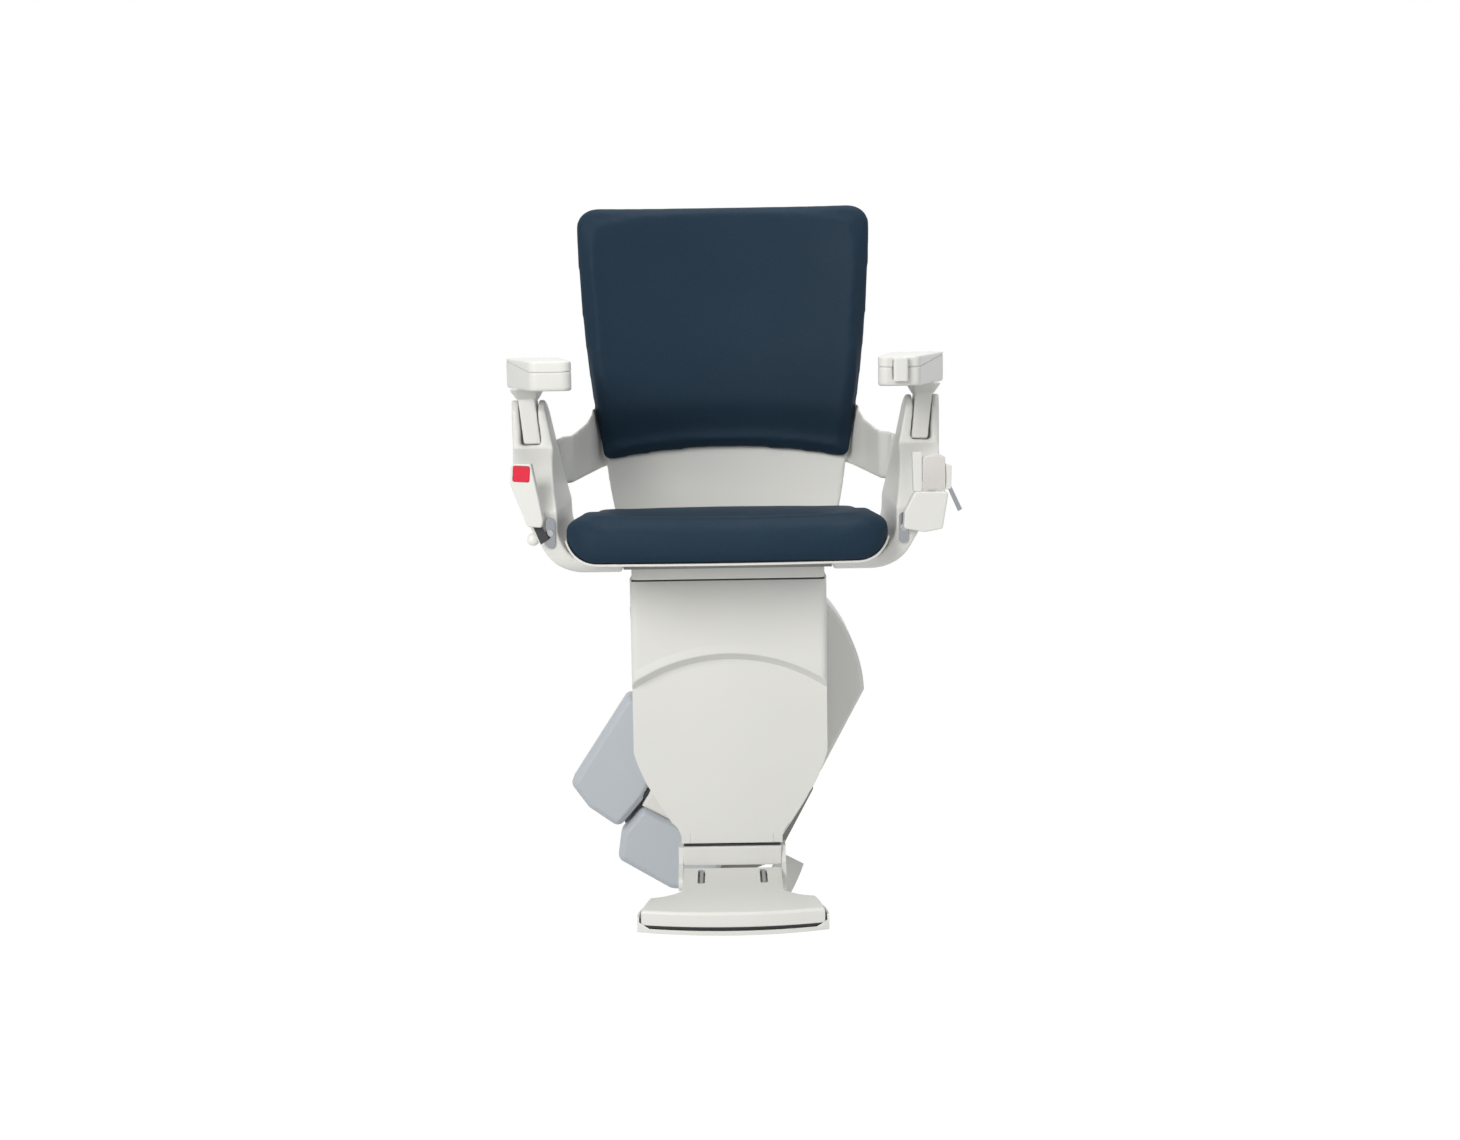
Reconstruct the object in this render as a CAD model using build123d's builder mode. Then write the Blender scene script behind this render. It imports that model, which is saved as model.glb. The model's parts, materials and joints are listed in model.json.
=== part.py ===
import os
from math import atan2, cos, degrees, hypot, pi, radians, sin, sqrt, tan

from build123d import *

# Stairlift chair. Millimetres, +Z up, -Y towards the person looking at the chair, +X to that person's right.
# Origin: on the upper rail tube's axis, in the chair's centre plane.

# ---------------------------------------------------------------- fits and gaps
running_gap = 0.05          # radial clearance of a shaft in its bore
seat_gap = 0.3              # between pieces that only rest near each other
move_gap = 1.5              # beside a moving cover
wall = 3.0                  # moulded cover wall

# ---------------------------------------------------------------- rail and carriage
rail_slope = 28.0           # the stair's pitch, falling to +X
rail_tube_r = 25.0
rail_spacing = 95.0         # between the two tube axes, square to them
pivot_to_rail = 150.0       # from the levelling pivot down to the upper tube's axis
pivot_z = pivot_to_rail / cos(radians(rail_slope))
rail_u = pivot_z * sin(radians(rail_slope))      # the origin's place along the rail, from the pivot

plate_front = -44.0         # chassis plate
plate_t = 8.0
plate_back = plate_front + plate_t
housing_r = 212.0           # the housing's round top, struck from the pivot
housing_front = -88.0
housing_back = 42.0
housing_side_u = 183.0
housing_left_x = -155.0
housing_ledge = -62.0       # the housing's back part ends here, above the rollers
housing_foot = -221.0
housing_foot_u = 172.0
housing_fillet = 7.0
back_cover_t = 2.5

shoe_wall = 8.0
shoe_open = 55.0            # half angle of the opening towards the wall
upper_shoe_length = 90.0
lower_shoe_length = 70.0
lower_shoe_u = 20.0

roller_core_r = 13.0
roller_bore_r = 8.0 + running_gap
roller_length = 40.0
roller_groove_gap = 0.3
roller_u = (-62.0, 152.0)
axle_r = 8.0
axle_collar_r = 12.0
axle_head_t = 4.0

pinion_teeth = 12
drive_module = 3.2
drive_u = -104.0
drive_width = 20.0
drive_shaft_r = 9.0
gearbox_size = 56.0
gearbox_depth = 41.0
motor_r = 17.0
motor_length = 120.0

battery_size = (151.0, 92.0, 62.0)
battery_v = (92.0, -4.0)    # centres, up from the pivot and square to the rail

upper_cover_front = -90.0
lower_cover_front = -78.0
cover_bevel = 9.0
end_cover_r = 58.0
end_cover_start = 193.0
end_cover_length = 44.0
end_cover_t = 3.0

# ---------------------------------------------------------------- levelling
pivot_shaft_r = 20.0
gear_teeth = 48
level_pinion_teeth = 12
level_module = 2.5
gear_width = 12.0
gear_front = -131.0
gear_backlash = 0.45

# ---------------------------------------------------------------- column
column_half = 145.0
column_top = 380.0
column_front = -250.0
recess_floor = -235.0
column_back = -95.0
column_fillet = 10.0
bell_start = 116.0          # height where the sides start to draw in
bell_mid = (123.0, 62.0)
neck_half = 76.0
neck_z = -8.0
column_bottom = -24.0
arch_top = 269.0
arch_end = 226.0
arch_slope = 38.0
frame_back = -99.0
frame_plate = 8.0
frame_half = 112.0

swivel_y = -170.0
swivel_post_r = 44.0
swivel_ring_r = 58.0
hub_bottom = 385.0
hub_top = 401.5
swivel_half = 140.0
swivel_front = -292.0
swivel_back = -58.0

# ---------------------------------------------------------------- footrest
hinge_y = -262.0
hinge_z = -76.0
hinge_shaft_r = 6.0
bar_half = 74.0
bar_top = -28.0
bar_bottom = -56.5
bar_front = -242.0
lug_t = 6.5
plate_top = -58.0
plate_thick = 24.0
plate_neck_half = 73.0
plate_neck_front = -352.0
plate_half = 128.0
plate_nose = -461.0
plate_side_y = -446.0
rod_x = 46.0
rod_r = 3.5
rod_length = 76.0
rod_back = -253.0
pan_gap = 3.0
pan_wall = 2.8
pan_travel = 4.0
pan_floor_t = 2.5

# ---------------------------------------------------------------- seat
base_half = 150.0
base_top = 417.5
base_front = -300.0
base_back = -52.0
pan_bottom = 418.0
seat_pan_t = 3.0
cushion_half = 226.0
cushion_front = -408.0
cushion_back = -44.0
cushion_crest = 488.0
cushion_rear_top = 463.0
cushion_corner = 45.0
seat_hinge_y = -31.0
seat_hinge_z = 428.0
seat_pin_r = 5.0

# ---------------------------------------------------------------- arms
arm_inner = 239.0
arm_outer = 320.0
arm_bottom = 401.5
arm_top = 643.0
arm_back = -95.0
arm_front = -342.0
arm_draft = 20.0            # how far the outside draws in from the fork to the front
fork_y = -165.0
fork_half = 31.0            # the fork's width fore and aft
fork_lean = 6.0
slot_width = 27.4
slot_depth = 66.0           # from the fork's top down to the slot's floor
slot_wall = 32.5            # from the frame's outside to the slot's centre at its floor
stem_gap = 1.2
stem_half = 13.5            # the stem's foot is round, behind its pin
stem_front = 29.0           # from the pin forward to the stem's front face
arm_pin_drop = 51.0         # from the fork's top to the pin
arm_pin_r = 5.0
rest_lift = 17.0            # armrest's underside above the fork
rest_depth = 41.0
rest_rise = 4.5             # its top climbs by this to the back
cap_depth = 15.0
rest_front = -360.0
rest_back = -88.0
slot_bottom = arm_top - slot_depth
slot_x = arm_outer - slot_wall
arm_pin_z = arm_top - arm_pin_drop
rest_bottom = arm_top + rest_lift
rest_top = rest_bottom + rest_depth
rest_split = rest_top - cap_depth

# ---------------------------------------------------------------- back
recline = 7.0
back_y = 8.0
back_z = 455.0
shell_t = 10.0
shell_bow = 900.0           # radius of the shell's hollow
back_cushion_t = 40.0
back_cushion_lift = 0.4

os.makedirs("parts", exist_ok=True)
rail_cos = cos(radians(rail_slope))
rail_sin = sin(radians(rail_slope))


def rail_plane(y):
    """Sketch plane along the rail: x runs down the rail from the pivot, y is square to it and up."""
    return Plane(origin=(0, y, pivot_z), x_dir=(rail_cos, 0, -rail_sin), z_dir=(0, -1, 0))


def front_plane(y):
    """Upright sketch plane facing the viewer: x is X, y is Z, and extrusion comes forward."""
    return Plane(origin=(0, y, 0), x_dir=(1, 0, 0), z_dir=(0, -1, 0))


def side_plane(x):
    """Upright sketch plane across the chair: x is Y, y is Z, and extrusion goes to +X."""
    return Plane(origin=(x, 0, 0), x_dir=(0, 1, 0), z_dir=(1, 0, 0))


def top_plane(z):
    return Plane.XY.offset(z)


def back_plane(lift):
    """Plane along the reclined back, lifted forward off the shell: x is X, y runs up the back."""
    tilt = radians(recline)
    normal = (0, -cos(tilt), sin(tilt))
    origin = (0, back_y + lift * normal[1], back_z + lift * normal[2])
    return Plane(origin=origin, x_dir=(1, 0, 0), z_dir=normal)


def at_rail(u, v, y):
    """Point in the row frame from a place along the rail and above the pivot, square to it."""
    return (u * rail_cos + v * rail_sin, y, pivot_z - u * rail_sin + v * rail_cos)


def write(piece, name):
    piece.label = name
    export_step(piece, "parts/" + name + ".step")


def gear_points(teeth, module, backlash, turn):
    """Involute outline of a spur gear, 20 degree pressure angle, as points round the wheel."""
    pitch = teeth * module / 2
    base = pitch * cos(radians(20))
    tip, root = pitch + module * 0.92, pitch - module * 1.2
    half_pitch = pi / (2 * teeth) - backlash / (2 * pitch)
    involute_at = lambda r: sqrt((r / base) ** 2 - 1) - atan2(sqrt(r * r - base * base), base)
    points = []
    radii = [max(base, root) + (tip - max(base, root)) * k / 3 for k in range(4)]
    for tooth in range(teeth):
        middle = 2 * pi * tooth / teeth + radians(turn)
        halves = [half_pitch + involute_at(pitch) - involute_at(r) for r in radii]
        flank = [(root, halves[0] + 0.02)] + list(zip(radii, halves))
        points += [(r * cos(middle - h), r * sin(middle - h)) for r, h in flank]
        points += [(r * cos(middle + h), r * sin(middle + h)) for r, h in reversed(flank)]
    return points


# ================================================================ rail guides
def guide_shoe(u, v, length):
    """C-shaped sliding shoe round a rail tube, open towards the wall, with a foot on the chassis plate."""
    bore = rail_tube_r + running_gap
    outer = bore + shoe_wall
    section = Plane(origin=at_rail(u - length / 2, v, 0), x_dir=(0, 1, 0), z_dir=(rail_cos, 0, -rail_sin))
    with BuildPart() as shoe:
        with BuildSketch(section):
            Circle(outer)
            with Locations((-(outer + abs(plate_back)) / 2 + 4, 0)):
                Rectangle(abs(abs(plate_back) - outer) + 8, 34)
            with Locations((plate_back - 20, 0)):
                Rectangle(40, 80, mode=Mode.SUBTRACT)
            Circle(bore, mode=Mode.SUBTRACT)
            with BuildLine():
                reach = outer * 1.6
                Polyline((0, 0), (reach * cos(radians(shoe_open)), reach * sin(radians(shoe_open))),
                         (reach * 1.5, 0),
                         (reach * cos(radians(shoe_open)), -reach * sin(radians(shoe_open))), close=True)
            make_face(mode=Mode.SUBTRACT)
        extrude(amount=length)
    return shoe.part


upper_v = -pivot_to_rail
lower_v = upper_v - rail_spacing
write(guide_shoe(rail_u, upper_v, upper_shoe_length), "upper_guide_shoe")
write(guide_shoe(lower_shoe_u, lower_v, lower_shoe_length), "lower_guide_shoe")

roller_drop = rail_tube_r + running_gap + roller_core_r
roller_places = [(u, upper_v + side * roller_drop) for side in (1, -1) for u in roller_u]
roller_names = ["guide_roller_top_left", "guide_roller_top_right",
                "guide_roller_low_left", "guide_roller_low_right"]

for name, (u, v) in zip(roller_names, roller_places):
    centre = at_rail(u, v, 0)
    groove_r = rail_tube_r + roller_groove_gap
    edge = roller_length / 2
    lip = roller_drop - sqrt(groove_r ** 2 - edge ** 2)
    with BuildPart() as roller:
        with BuildSketch(Plane(origin=centre, x_dir=(0, 1, 0), z_dir=(1, 0, 0))):
            with BuildLine():
                Polyline((edge, lip), (edge, roller_bore_r), (-edge, roller_bore_r), (-edge, lip))
                ThreePointArc((-edge, lip), (0, roller_drop - groove_r), (edge, lip))
            make_face()
        revolve(axis=Axis(centre, (0, 1, 0)))
    write(roller.part, name)

with BuildPart() as axles:
    for u, v in roller_places:
        with BuildSketch(rail_plane(plate_front)):
            with Locations((u, v)):
                Circle(axle_r)
        extrude(amount=-(abs(plate_front) + roller_length / 2 + 1))
        with BuildSketch(rail_plane(plate_back)):
            with Locations((u, v)):
                Circle(axle_collar_r)
        extrude(amount=-(abs(plate_back) - roller_length / 2 - seat_gap))
        with BuildSketch(rail_plane(roller_length / 2 + seat_gap)):
            with Locations((u, v)):
                Circle(axle_collar_r)
        extrude(amount=-axle_head_t)
        with BuildSketch(rail_plane(plate_front)):
            with Locations((u, v)):
                RegularPolygon(axle_collar_r, 6)
        extrude(amount=axle_head_t)
write(axles.part, "roller_axles")

# ================================================================ drive
drive_r = pinion_teeth * drive_module / 2
drive_v = upper_v - rail_tube_r - drive_r - drive_module - 1
with BuildPart() as drive_pinion:
    with BuildSketch(rail_plane(drive_width / 2)):
        with BuildLine():
            Polyline([(x + drive_u, y + drive_v) for x, y in gear_points(pinion_teeth, drive_module, 0.3, 0)],
                     close=True)
        make_face()
    extrude(amount=drive_width)
    with BuildSketch(rail_plane(drive_width / 2)):
        with Locations((drive_u, drive_v)):
            Circle(drive_shaft_r)
    extrude(amount=abs(plate_front) + drive_width / 2 + 20)
write(drive_pinion.part, "drive_pinion")

with BuildPart() as gearbox:
    with BuildSketch(rail_plane(plate_front)):
        with Locations((drive_u, drive_v)):
            RectangleRounded(gearbox_size, gearbox_size * 0.8, 8)
    extrude(amount=gearbox_depth)
    with BuildSketch(rail_plane(plate_front)):
        with Locations((drive_u, drive_v)):
            Circle(drive_shaft_r + running_gap)
    extrude(amount=21, mode=Mode.SUBTRACT)
write(gearbox.part, "drive_gearbox")

motor_start_u = drive_u + gearbox_size / 2
motor_y = plate_front - axle_head_t - 0.5 - motor_r
with BuildPart() as motor:
    with BuildSketch(Plane(origin=at_rail(motor_start_u, drive_v, motor_y), x_dir=(0, 1, 0),
                           z_dir=(rail_cos, 0, -rail_sin))):
        Circle(motor_r)
    extrude(amount=motor_length)
    with BuildSketch(Plane(origin=at_rail(motor_start_u + motor_length, drive_v, motor_y), x_dir=(0, 1, 0),
                           z_dir=(rail_cos, 0, -rail_sin))):
        Circle(motor_r * 0.6)
    extrude(amount=10)
write(motor.part, "drive_motor")

# ================================================================ chassis plate
plate_outline = [(-118, 40), (-90, 78), (150, 78), (178, 40), (178, -66), (192, -80), (192, -215), (140, -272),
                 (-25, -292), (-60, -262), (-148, -238), (-146, -80), (-118, -76)]
with BuildPart() as chassis:
    with BuildSketch(rail_plane(plate_back)):
        with BuildLine():
            Polyline(plate_outline, close=True)
        make_face()
        fillet(vertices(), 3)
        with Locations(roller_places):
            Circle(axle_r, mode=Mode.SUBTRACT)
        with Locations((drive_u, drive_v)):
            Circle(drive_shaft_r + running_gap, mode=Mode.SUBTRACT)
        Circle(pivot_shaft_r, mode=Mode.SUBTRACT)
    extrude(amount=plate_t)
write(chassis.part, "chassis_plate")

# ================================================================ batteries
with BuildPart() as batteries:
    with BuildSketch(rail_plane(plate_back)):
        with Locations([(0, middle) for middle in battery_v]):
            RectangleRounded(battery_size[0], battery_size[1], 4)
    extrude(amount=-battery_size[2])
write(batteries.part, "battery_pack")


# ================================================================ carriage housing
def upright_to_rail(x, z):
    """A point given upright from the pivot, turned into the rail plane's own axes."""
    return (x * rail_cos - z * rail_sin, x * rail_sin + z * rail_cos)


def housing_line(inset, with_foot):
    """The housing's outline: round top struck from the pivot, straight sides, and the foot beside the guides."""
    r = housing_r - inset
    right = housing_side_u - inset
    left_x = housing_left_x + inset
    left_top = upright_to_rail(left_x, sqrt(r * r - left_x * left_x))
    right_top = (right, sqrt(r * r - right * right))
    start, end = (degrees(atan2(p[1], p[0])) for p in (right_top, left_top))
    middle = radians((start + end) / 2)
    ledge = housing_ledge + inset
    left_low = upright_to_rail(left_x + 5, (ledge - (left_x + 5) * rail_sin) / rail_cos)
    if with_foot:
        foot_left = guide_split_u + inset
        low = [left_low, (foot_left, ledge), (foot_left, housing_foot + inset),
               (housing_foot_u - inset, housing_foot + inset), (right, -100)]
    else:
        low = [left_low, (right, ledge)]
    with BuildLine() as outline:
        ThreePointArc(right_top, (r * cos(middle), r * sin(middle)), left_top)
        Polyline([left_top] + low + [right_top])
    return outline.line


guide_split_u = -44.0
housing_outer = housing_line(0, True)
housing_inner = housing_line(wall, True)
ring_outer = housing_line(0, False)
ring_inner = housing_line(wall, False)
motor_path = Plane(origin=at_rail(motor_start_u - 5, drive_v, motor_y), x_dir=(0, 1, 0),
                   z_dir=(rail_cos, 0, -rail_sin))

with BuildPart() as housing:
    with BuildSketch(rail_plane(plate_front - seat_gap)):
        with BuildLine():
            add(housing_outer)
        make_face()
    extrude(amount=plate_front - seat_gap - housing_front)
    fillet(housing.faces().sort_by(Axis.Y)[0].outer_wire().edges(), housing_fillet)
    with BuildSketch(rail_plane(plate_front - seat_gap)):
        with BuildLine():
            add(housing_inner)
        make_face()
    extrude(amount=plate_front - seat_gap - housing_front - wall, mode=Mode.SUBTRACT)
    with BuildSketch(rail_plane(housing_back)):
        with BuildLine():
            add(ring_outer)
        make_face()
    extrude(amount=housing_back - plate_front + seat_gap)
    with BuildSketch(rail_plane(housing_back)):
        with BuildLine():
            add(ring_inner)
        make_face()
    extrude(amount=housing_back - plate_front + seat_gap, mode=Mode.SUBTRACT)
    with BuildSketch(rail_plane(plate_back + seat_gap)):
        with BuildLine():
            Polyline([(-119, -59), (-119, -63), (193, -63), (193, -59)], close=True)
        make_face()
    extrude(amount=plate_t + 2 * seat_gap, mode=Mode.SUBTRACT)
    with BuildSketch(rail_plane(housing_front + wall)):
        Circle(pivot_shaft_r + 10)
    extrude(amount=wall * 2, mode=Mode.SUBTRACT)
    with BuildSketch(motor_path):
        Circle(motor_r + move_gap)
    extrude(amount=60, mode=Mode.SUBTRACT)
write(housing.part, "carriage_housing")

with BuildPart() as back_cover:
    with BuildSketch(rail_plane(housing_back + back_cover_t)):
        with BuildLine():
            add(ring_outer)
        make_face()
    extrude(amount=back_cover_t)
write(back_cover.part, "housing_back_cover")


# ================================================================ guide covers
def guide_cover(corners, rounding, front):
    """Open-backed moulded cover in front of the rail: an outline drawn in at its bevelled front edge."""
    back = plate_front - seat_gap
    with BuildPart() as cover:
        with BuildSketch(rail_plane(back)):
            with BuildLine():
                Polyline(corners, close=True)
            make_face()
            fillet(vertices(), rounding)
        extrude(amount=back - front)
        chamfer(cover.faces().sort_by(Axis.Y)[0].outer_wire().edges(), cover_bevel)
        with BuildSketch(rail_plane(back)):
            with BuildLine():
                Polyline(corners, close=True)
            make_face()
            fillet(vertices(), rounding)
            offset(amount=-wall, kind=Kind.INTERSECTION)
        extrude(amount=back - front - cover_bevel, mode=Mode.SUBTRACT)
        with BuildSketch(rail_plane(back)):
            with BuildLine():
                Polyline(corners, close=True)
            make_face()
            fillet(vertices(), rounding)
            offset(amount=-cover_bevel - wall, kind=Kind.INTERSECTION)
        extrude(amount=back - front - wall, mode=Mode.SUBTRACT)
        with BuildSketch(motor_path):
            Circle(motor_r + move_gap)
        extrude(amount=motor_length * 0.6, mode=Mode.SUBTRACT)
    return cover.part


upper_corners = [(-146, -68), (-162, -240), (-118, -262), (-60, -270), (-46, -206), (-46, -68)]
lower_corners = [(-42, -223), (-54, -276), (-38, -320), (60, -325), (120, -300), (112, -223)]
write(guide_cover(upper_corners, 13, upper_cover_front), "upper_guide_cover")
write(guide_cover(lower_corners, 13, lower_cover_front), "lower_guide_cover")

end_section = Plane(origin=at_rail(end_cover_start, lower_v, 0), x_dir=(0, 1, 0), z_dir=(rail_cos, 0, -rail_sin))
with BuildPart() as end_cover:
    with BuildSketch(end_section):
        Circle(end_cover_r)
        Circle(end_cover_r - end_cover_t, mode=Mode.SUBTRACT)
        with Locations((end_cover_r + plate_back, 0)):
            Rectangle(end_cover_r * 2, end_cover_r * 3, mode=Mode.SUBTRACT)
    extrude(amount=end_cover_length)
    with BuildSketch(end_section):
        with Locations((plate_back - plate_t / 2, 0)):
            Rectangle(plate_t, end_cover_r * 1.35)
    extrude(amount=end_cover_t)
write(end_cover.part, "end_guide_cover")

# ================================================================ levelling pivot
with BuildPart() as pivot_shaft:
    with BuildSketch(rail_plane(plate_back)):
        Circle(pivot_shaft_r)
    extrude(amount=plate_back - gear_front + 1)
    with BuildSketch(rail_plane(plate_front)):
        Circle(pivot_shaft_r + 16)
    extrude(amount=10)
write(pivot_shaft.part, "pivot_shaft")

gear_r = gear_teeth * level_module / 2
level_pinion_r = level_pinion_teeth * level_module / 2
gear_centre = gear_r + level_pinion_r + 0.25
upright_pivot = Plane(origin=(0, gear_front + gear_width, pivot_z), x_dir=(1, 0, 0), z_dir=(0, -1, 0))
with BuildPart() as levelling_gear:
    with BuildSketch(upright_pivot):
        with BuildLine():
            Polyline(gear_points(gear_teeth, level_module, gear_backlash, 90), close=True)
        make_face()
        with PolarLocations(gear_r * 0.62, 6):
            Circle(gear_r * 0.17, mode=Mode.SUBTRACT)
        Circle(pivot_shaft_r, mode=Mode.SUBTRACT)
    extrude(amount=gear_width)
write(levelling_gear.part, "levelling_gear")

motor_plate_y = gear_front - 4
level_motor_r = 27.0
level_motor_length = 80.0
level_shaft_r = 5.0
level_shaft_depth = 15.0
with BuildPart() as levelling_pinion:
    with BuildSketch(upright_pivot):
        with BuildLine():
            Polyline([(x, y + gear_centre) for x, y in
                      gear_points(level_pinion_teeth, level_module, gear_backlash, 90 + 180 / level_pinion_teeth)],
                     close=True)
        make_face()
    extrude(amount=gear_width)
    with BuildSketch(upright_pivot):
        with Locations((0, gear_centre)):
            Circle(level_shaft_r)
    extrude(amount=gear_width + 4 + frame_plate + level_shaft_depth - 1)
write(levelling_pinion.part, "levelling_pinion")

with BuildPart() as levelling_motor:
    with BuildSketch(front_plane(motor_plate_y - frame_plate)):
        with Locations((0, pivot_z + gear_centre)):
            Circle(level_motor_r)
    extrude(amount=level_motor_length)
    with BuildSketch(front_plane(motor_plate_y - frame_plate)):
        with Locations((0, pivot_z + gear_centre)):
            Circle(level_shaft_r + running_gap)
    extrude(amount=level_shaft_depth, mode=Mode.SUBTRACT)
    chamfer(levelling_motor.faces().sort_by(Axis.Y)[0].outer_wire().edges(), 4)
write(levelling_motor.part, "levelling_motor")

with BuildPart() as pivot_bush:
    with BuildSketch(front_plane(frame_back)):
        with Locations((0, pivot_z)):
            Circle(pivot_shaft_r + 8)
            Circle(pivot_shaft_r + running_gap, mode=Mode.SUBTRACT)
    extrude(amount=frame_plate)
write(pivot_bush.part, "pivot_bush")

# ================================================================ column
post_seat_z = column_top - 12
spine_half = 50.0
with BuildPart() as column_frame:
    with BuildSketch(front_plane(frame_back)):
        with Locations((0, (post_seat_z + 60) / 2)):
            Rectangle(frame_half * 2, post_seat_z - 60)
        with Locations((0, pivot_z)):
            Circle(pivot_shaft_r + 8, mode=Mode.SUBTRACT)
    extrude(amount=frame_plate)
    with BuildSketch(top_plane(post_seat_z - frame_plate)):
        with Locations((0, (frame_back + recess_floor + 6) / 2)):
            Rectangle(frame_half * 2, frame_back - recess_floor - 6)
    extrude(amount=frame_plate)
    with BuildSketch(front_plane(motor_plate_y)):
        with Locations((0, (post_seat_z + pivot_z + gear_centre - 34) / 2)):
            Rectangle(88, post_seat_z - pivot_z - gear_centre + 34)
        with Locations((0, pivot_z + gear_centre)):
            Circle(level_shaft_r + 2, mode=Mode.SUBTRACT)
    extrude(amount=frame_plate)
    with BuildSketch(side_plane(-spine_half)):
        with BuildLine():
            Polyline((frame_back, 78), (frame_back, 20), (frame_back - 40, bar_top), (bar_front + 22, bar_top),
                     (bar_front + 22, 20), (frame_back - 60, 78), close=True)
        make_face()
    extrude(amount=spine_half * 2)
write(column_frame.part, "column_frame")


def bell_line(inset):
    """Front outline of the column: upright sides that draw in to a narrow neck like a bell."""
    half, neck = column_half - inset, neck_half - inset
    mid_x, mid_z = bell_mid[0] - inset, bell_mid[1]
    with BuildLine() as outline:
        for side in (1, -1):
            Line((side * half, column_top - inset), (side * half, bell_start))
            ThreePointArc((side * half, bell_start),
                          (side * (mid_x + (half - mid_x) * 0.62), (bell_start + mid_z) / 2 + 2),
                          (side * mid_x, mid_z))
            Line((side * mid_x, mid_z), (side * (neck + 14), neck_z + 16))
            ThreePointArc((side * (neck + 14), neck_z + 16), (side * (neck + 3.5), neck_z + 4),
                          (side * neck, neck_z - 7))
            Line((side * neck, neck_z - 7), (side * neck, column_bottom + inset))
        Line((-half, column_top - inset), (half, column_top - inset))
        Line((-neck, column_bottom + inset), (neck, column_bottom + inset))
    return outline.line


bell_outer = bell_line(0)
bell_inner = bell_line(wall)
with BuildPart() as column_cover:
    with BuildSketch(front_plane(column_back - wall)):
        with BuildLine():
            add(bell_outer)
        make_face()
    extrude(amount=column_back - wall - column_front)
    with BuildSketch(top_plane(column_bottom)):
        for side in (-1, 1):
            edge_x, round_x = side * column_half, side * (column_half - column_fillet)
            round_y = column_front + column_fillet
            with BuildLine():
                RadiusArc((edge_x, round_y), (round_x, column_front), side * column_fillet)
                Polyline((round_x, column_front), (round_x, column_front - 2), (edge_x + side * 2, column_front - 2),
                         (edge_x + side * 2, round_y), (edge_x, round_y))
            make_face()
    extrude(amount=column_top - column_bottom, mode=Mode.SUBTRACT)
    with BuildSketch(front_plane(column_front)):
        with BuildLine():
            ThreePointArc((-column_half, arch_end), (0, arch_top), (column_half, arch_end))
            Polyline((column_half, arch_end), (column_half + 40, arch_end), (column_half + 40, column_bottom - 30),
                     (-column_half - 40, column_bottom - 30), (-column_half - 40, arch_end),
                     (-column_half, arch_end))
        make_face()
    extrude(amount=-(recess_floor - column_front), taper=arch_slope, mode=Mode.SUBTRACT)
    with BuildSketch(front_plane(column_back - wall)):
        with BuildLine():
            add(bell_inner)
        make_face()
    extrude(amount=column_back - recess_floor - 2 * wall, mode=Mode.SUBTRACT)
    with BuildSketch(front_plane(recess_floor + wall)):
        with Locations((0, (column_top - wall + arch_top + 24) / 2)):
            Rectangle(2 * column_half - 24, column_top - wall - arch_top - 24)
    extrude(amount=recess_floor - column_front, mode=Mode.SUBTRACT)
    with BuildSketch(top_plane(column_top - 2 * wall)):
        with Locations((0, swivel_y)):
            Circle(swivel_ring_r + 1)
    extrude(amount=4 * wall, mode=Mode.SUBTRACT)
    with BuildSketch(top_plane(column_bottom - 1)):
        with Locations((0, (bar_front + frame_back) / 2)):
            Rectangle(2 * spine_half + 2, frame_back - bar_front)
    extrude(amount=wall + 2, mode=Mode.SUBTRACT)
write(column_cover.part, "column_cover")

with BuildPart() as column_back_cover:
    with BuildSketch(front_plane(column_back)):
        with BuildLine():
            add(bell_outer)
        make_face()
        with Locations((0, pivot_z)):
            Circle(pivot_shaft_r + 4, mode=Mode.SUBTRACT)
    extrude(amount=wall)
write(column_back_cover.part, "column_back_cover")

with BuildPart() as swivel_post:
    with BuildSketch(top_plane(post_seat_z)):
        with Locations((0, swivel_y)):
            Circle(swivel_ring_r)
    extrude(amount=hub_bottom - seat_gap - post_seat_z)
    with BuildSketch(top_plane(post_seat_z)):
        with Locations((0, swivel_y)):
            Circle(swivel_post_r)
    extrude(amount=hub_top - 2 - post_seat_z)
write(swivel_post.part, "swivel_post")

# ================================================================ footrest
lug_r = 12.0
with BuildPart() as hinge_bar:
    with BuildSketch(front_plane(bar_front + 60)):
        with Locations((0, (bar_top + bar_bottom) / 2)):
            Rectangle(bar_half * 2, bar_top - bar_bottom)
    extrude(amount=60)
    fillet(hinge_bar.faces().sort_by(Axis.Y)[0].edges(), 2)
    for side in (-1, 1):
        with BuildSketch(side_plane(side * (bar_half + seat_gap / 2) + (0 if side > 0 else -lug_t))):
            with BuildLine():
                ThreePointArc((hinge_y + 2, hinge_z - lug_r), (hinge_y - lug_r, hinge_z),
                              (hinge_y - 2, hinge_z + lug_r))
                Polyline((hinge_y - 2, hinge_z + lug_r), (bar_front, bar_bottom + 4), (bar_front + 8, bar_top - 2),
                         (bar_front + 40, bar_top - 2), (bar_front + 40, bar_bottom),
                         (hinge_y + 2, hinge_z - lug_r))
            make_face()
            with Locations((hinge_y, hinge_z)):
                Circle(hinge_shaft_r, mode=Mode.SUBTRACT)
        extrude(amount=lug_t)
        with BuildSketch(side_plane(side * (bar_half - 1) + (0 if side > 0 else -(seat_gap / 2 + 2)))):
            with Locations((bar_front + 24, (bar_top + bar_bottom) / 2)):
                Rectangle(20, 18)
        extrude(amount=seat_gap / 2 + 2)
write(hinge_bar.part, "hinge_bar")

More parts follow.
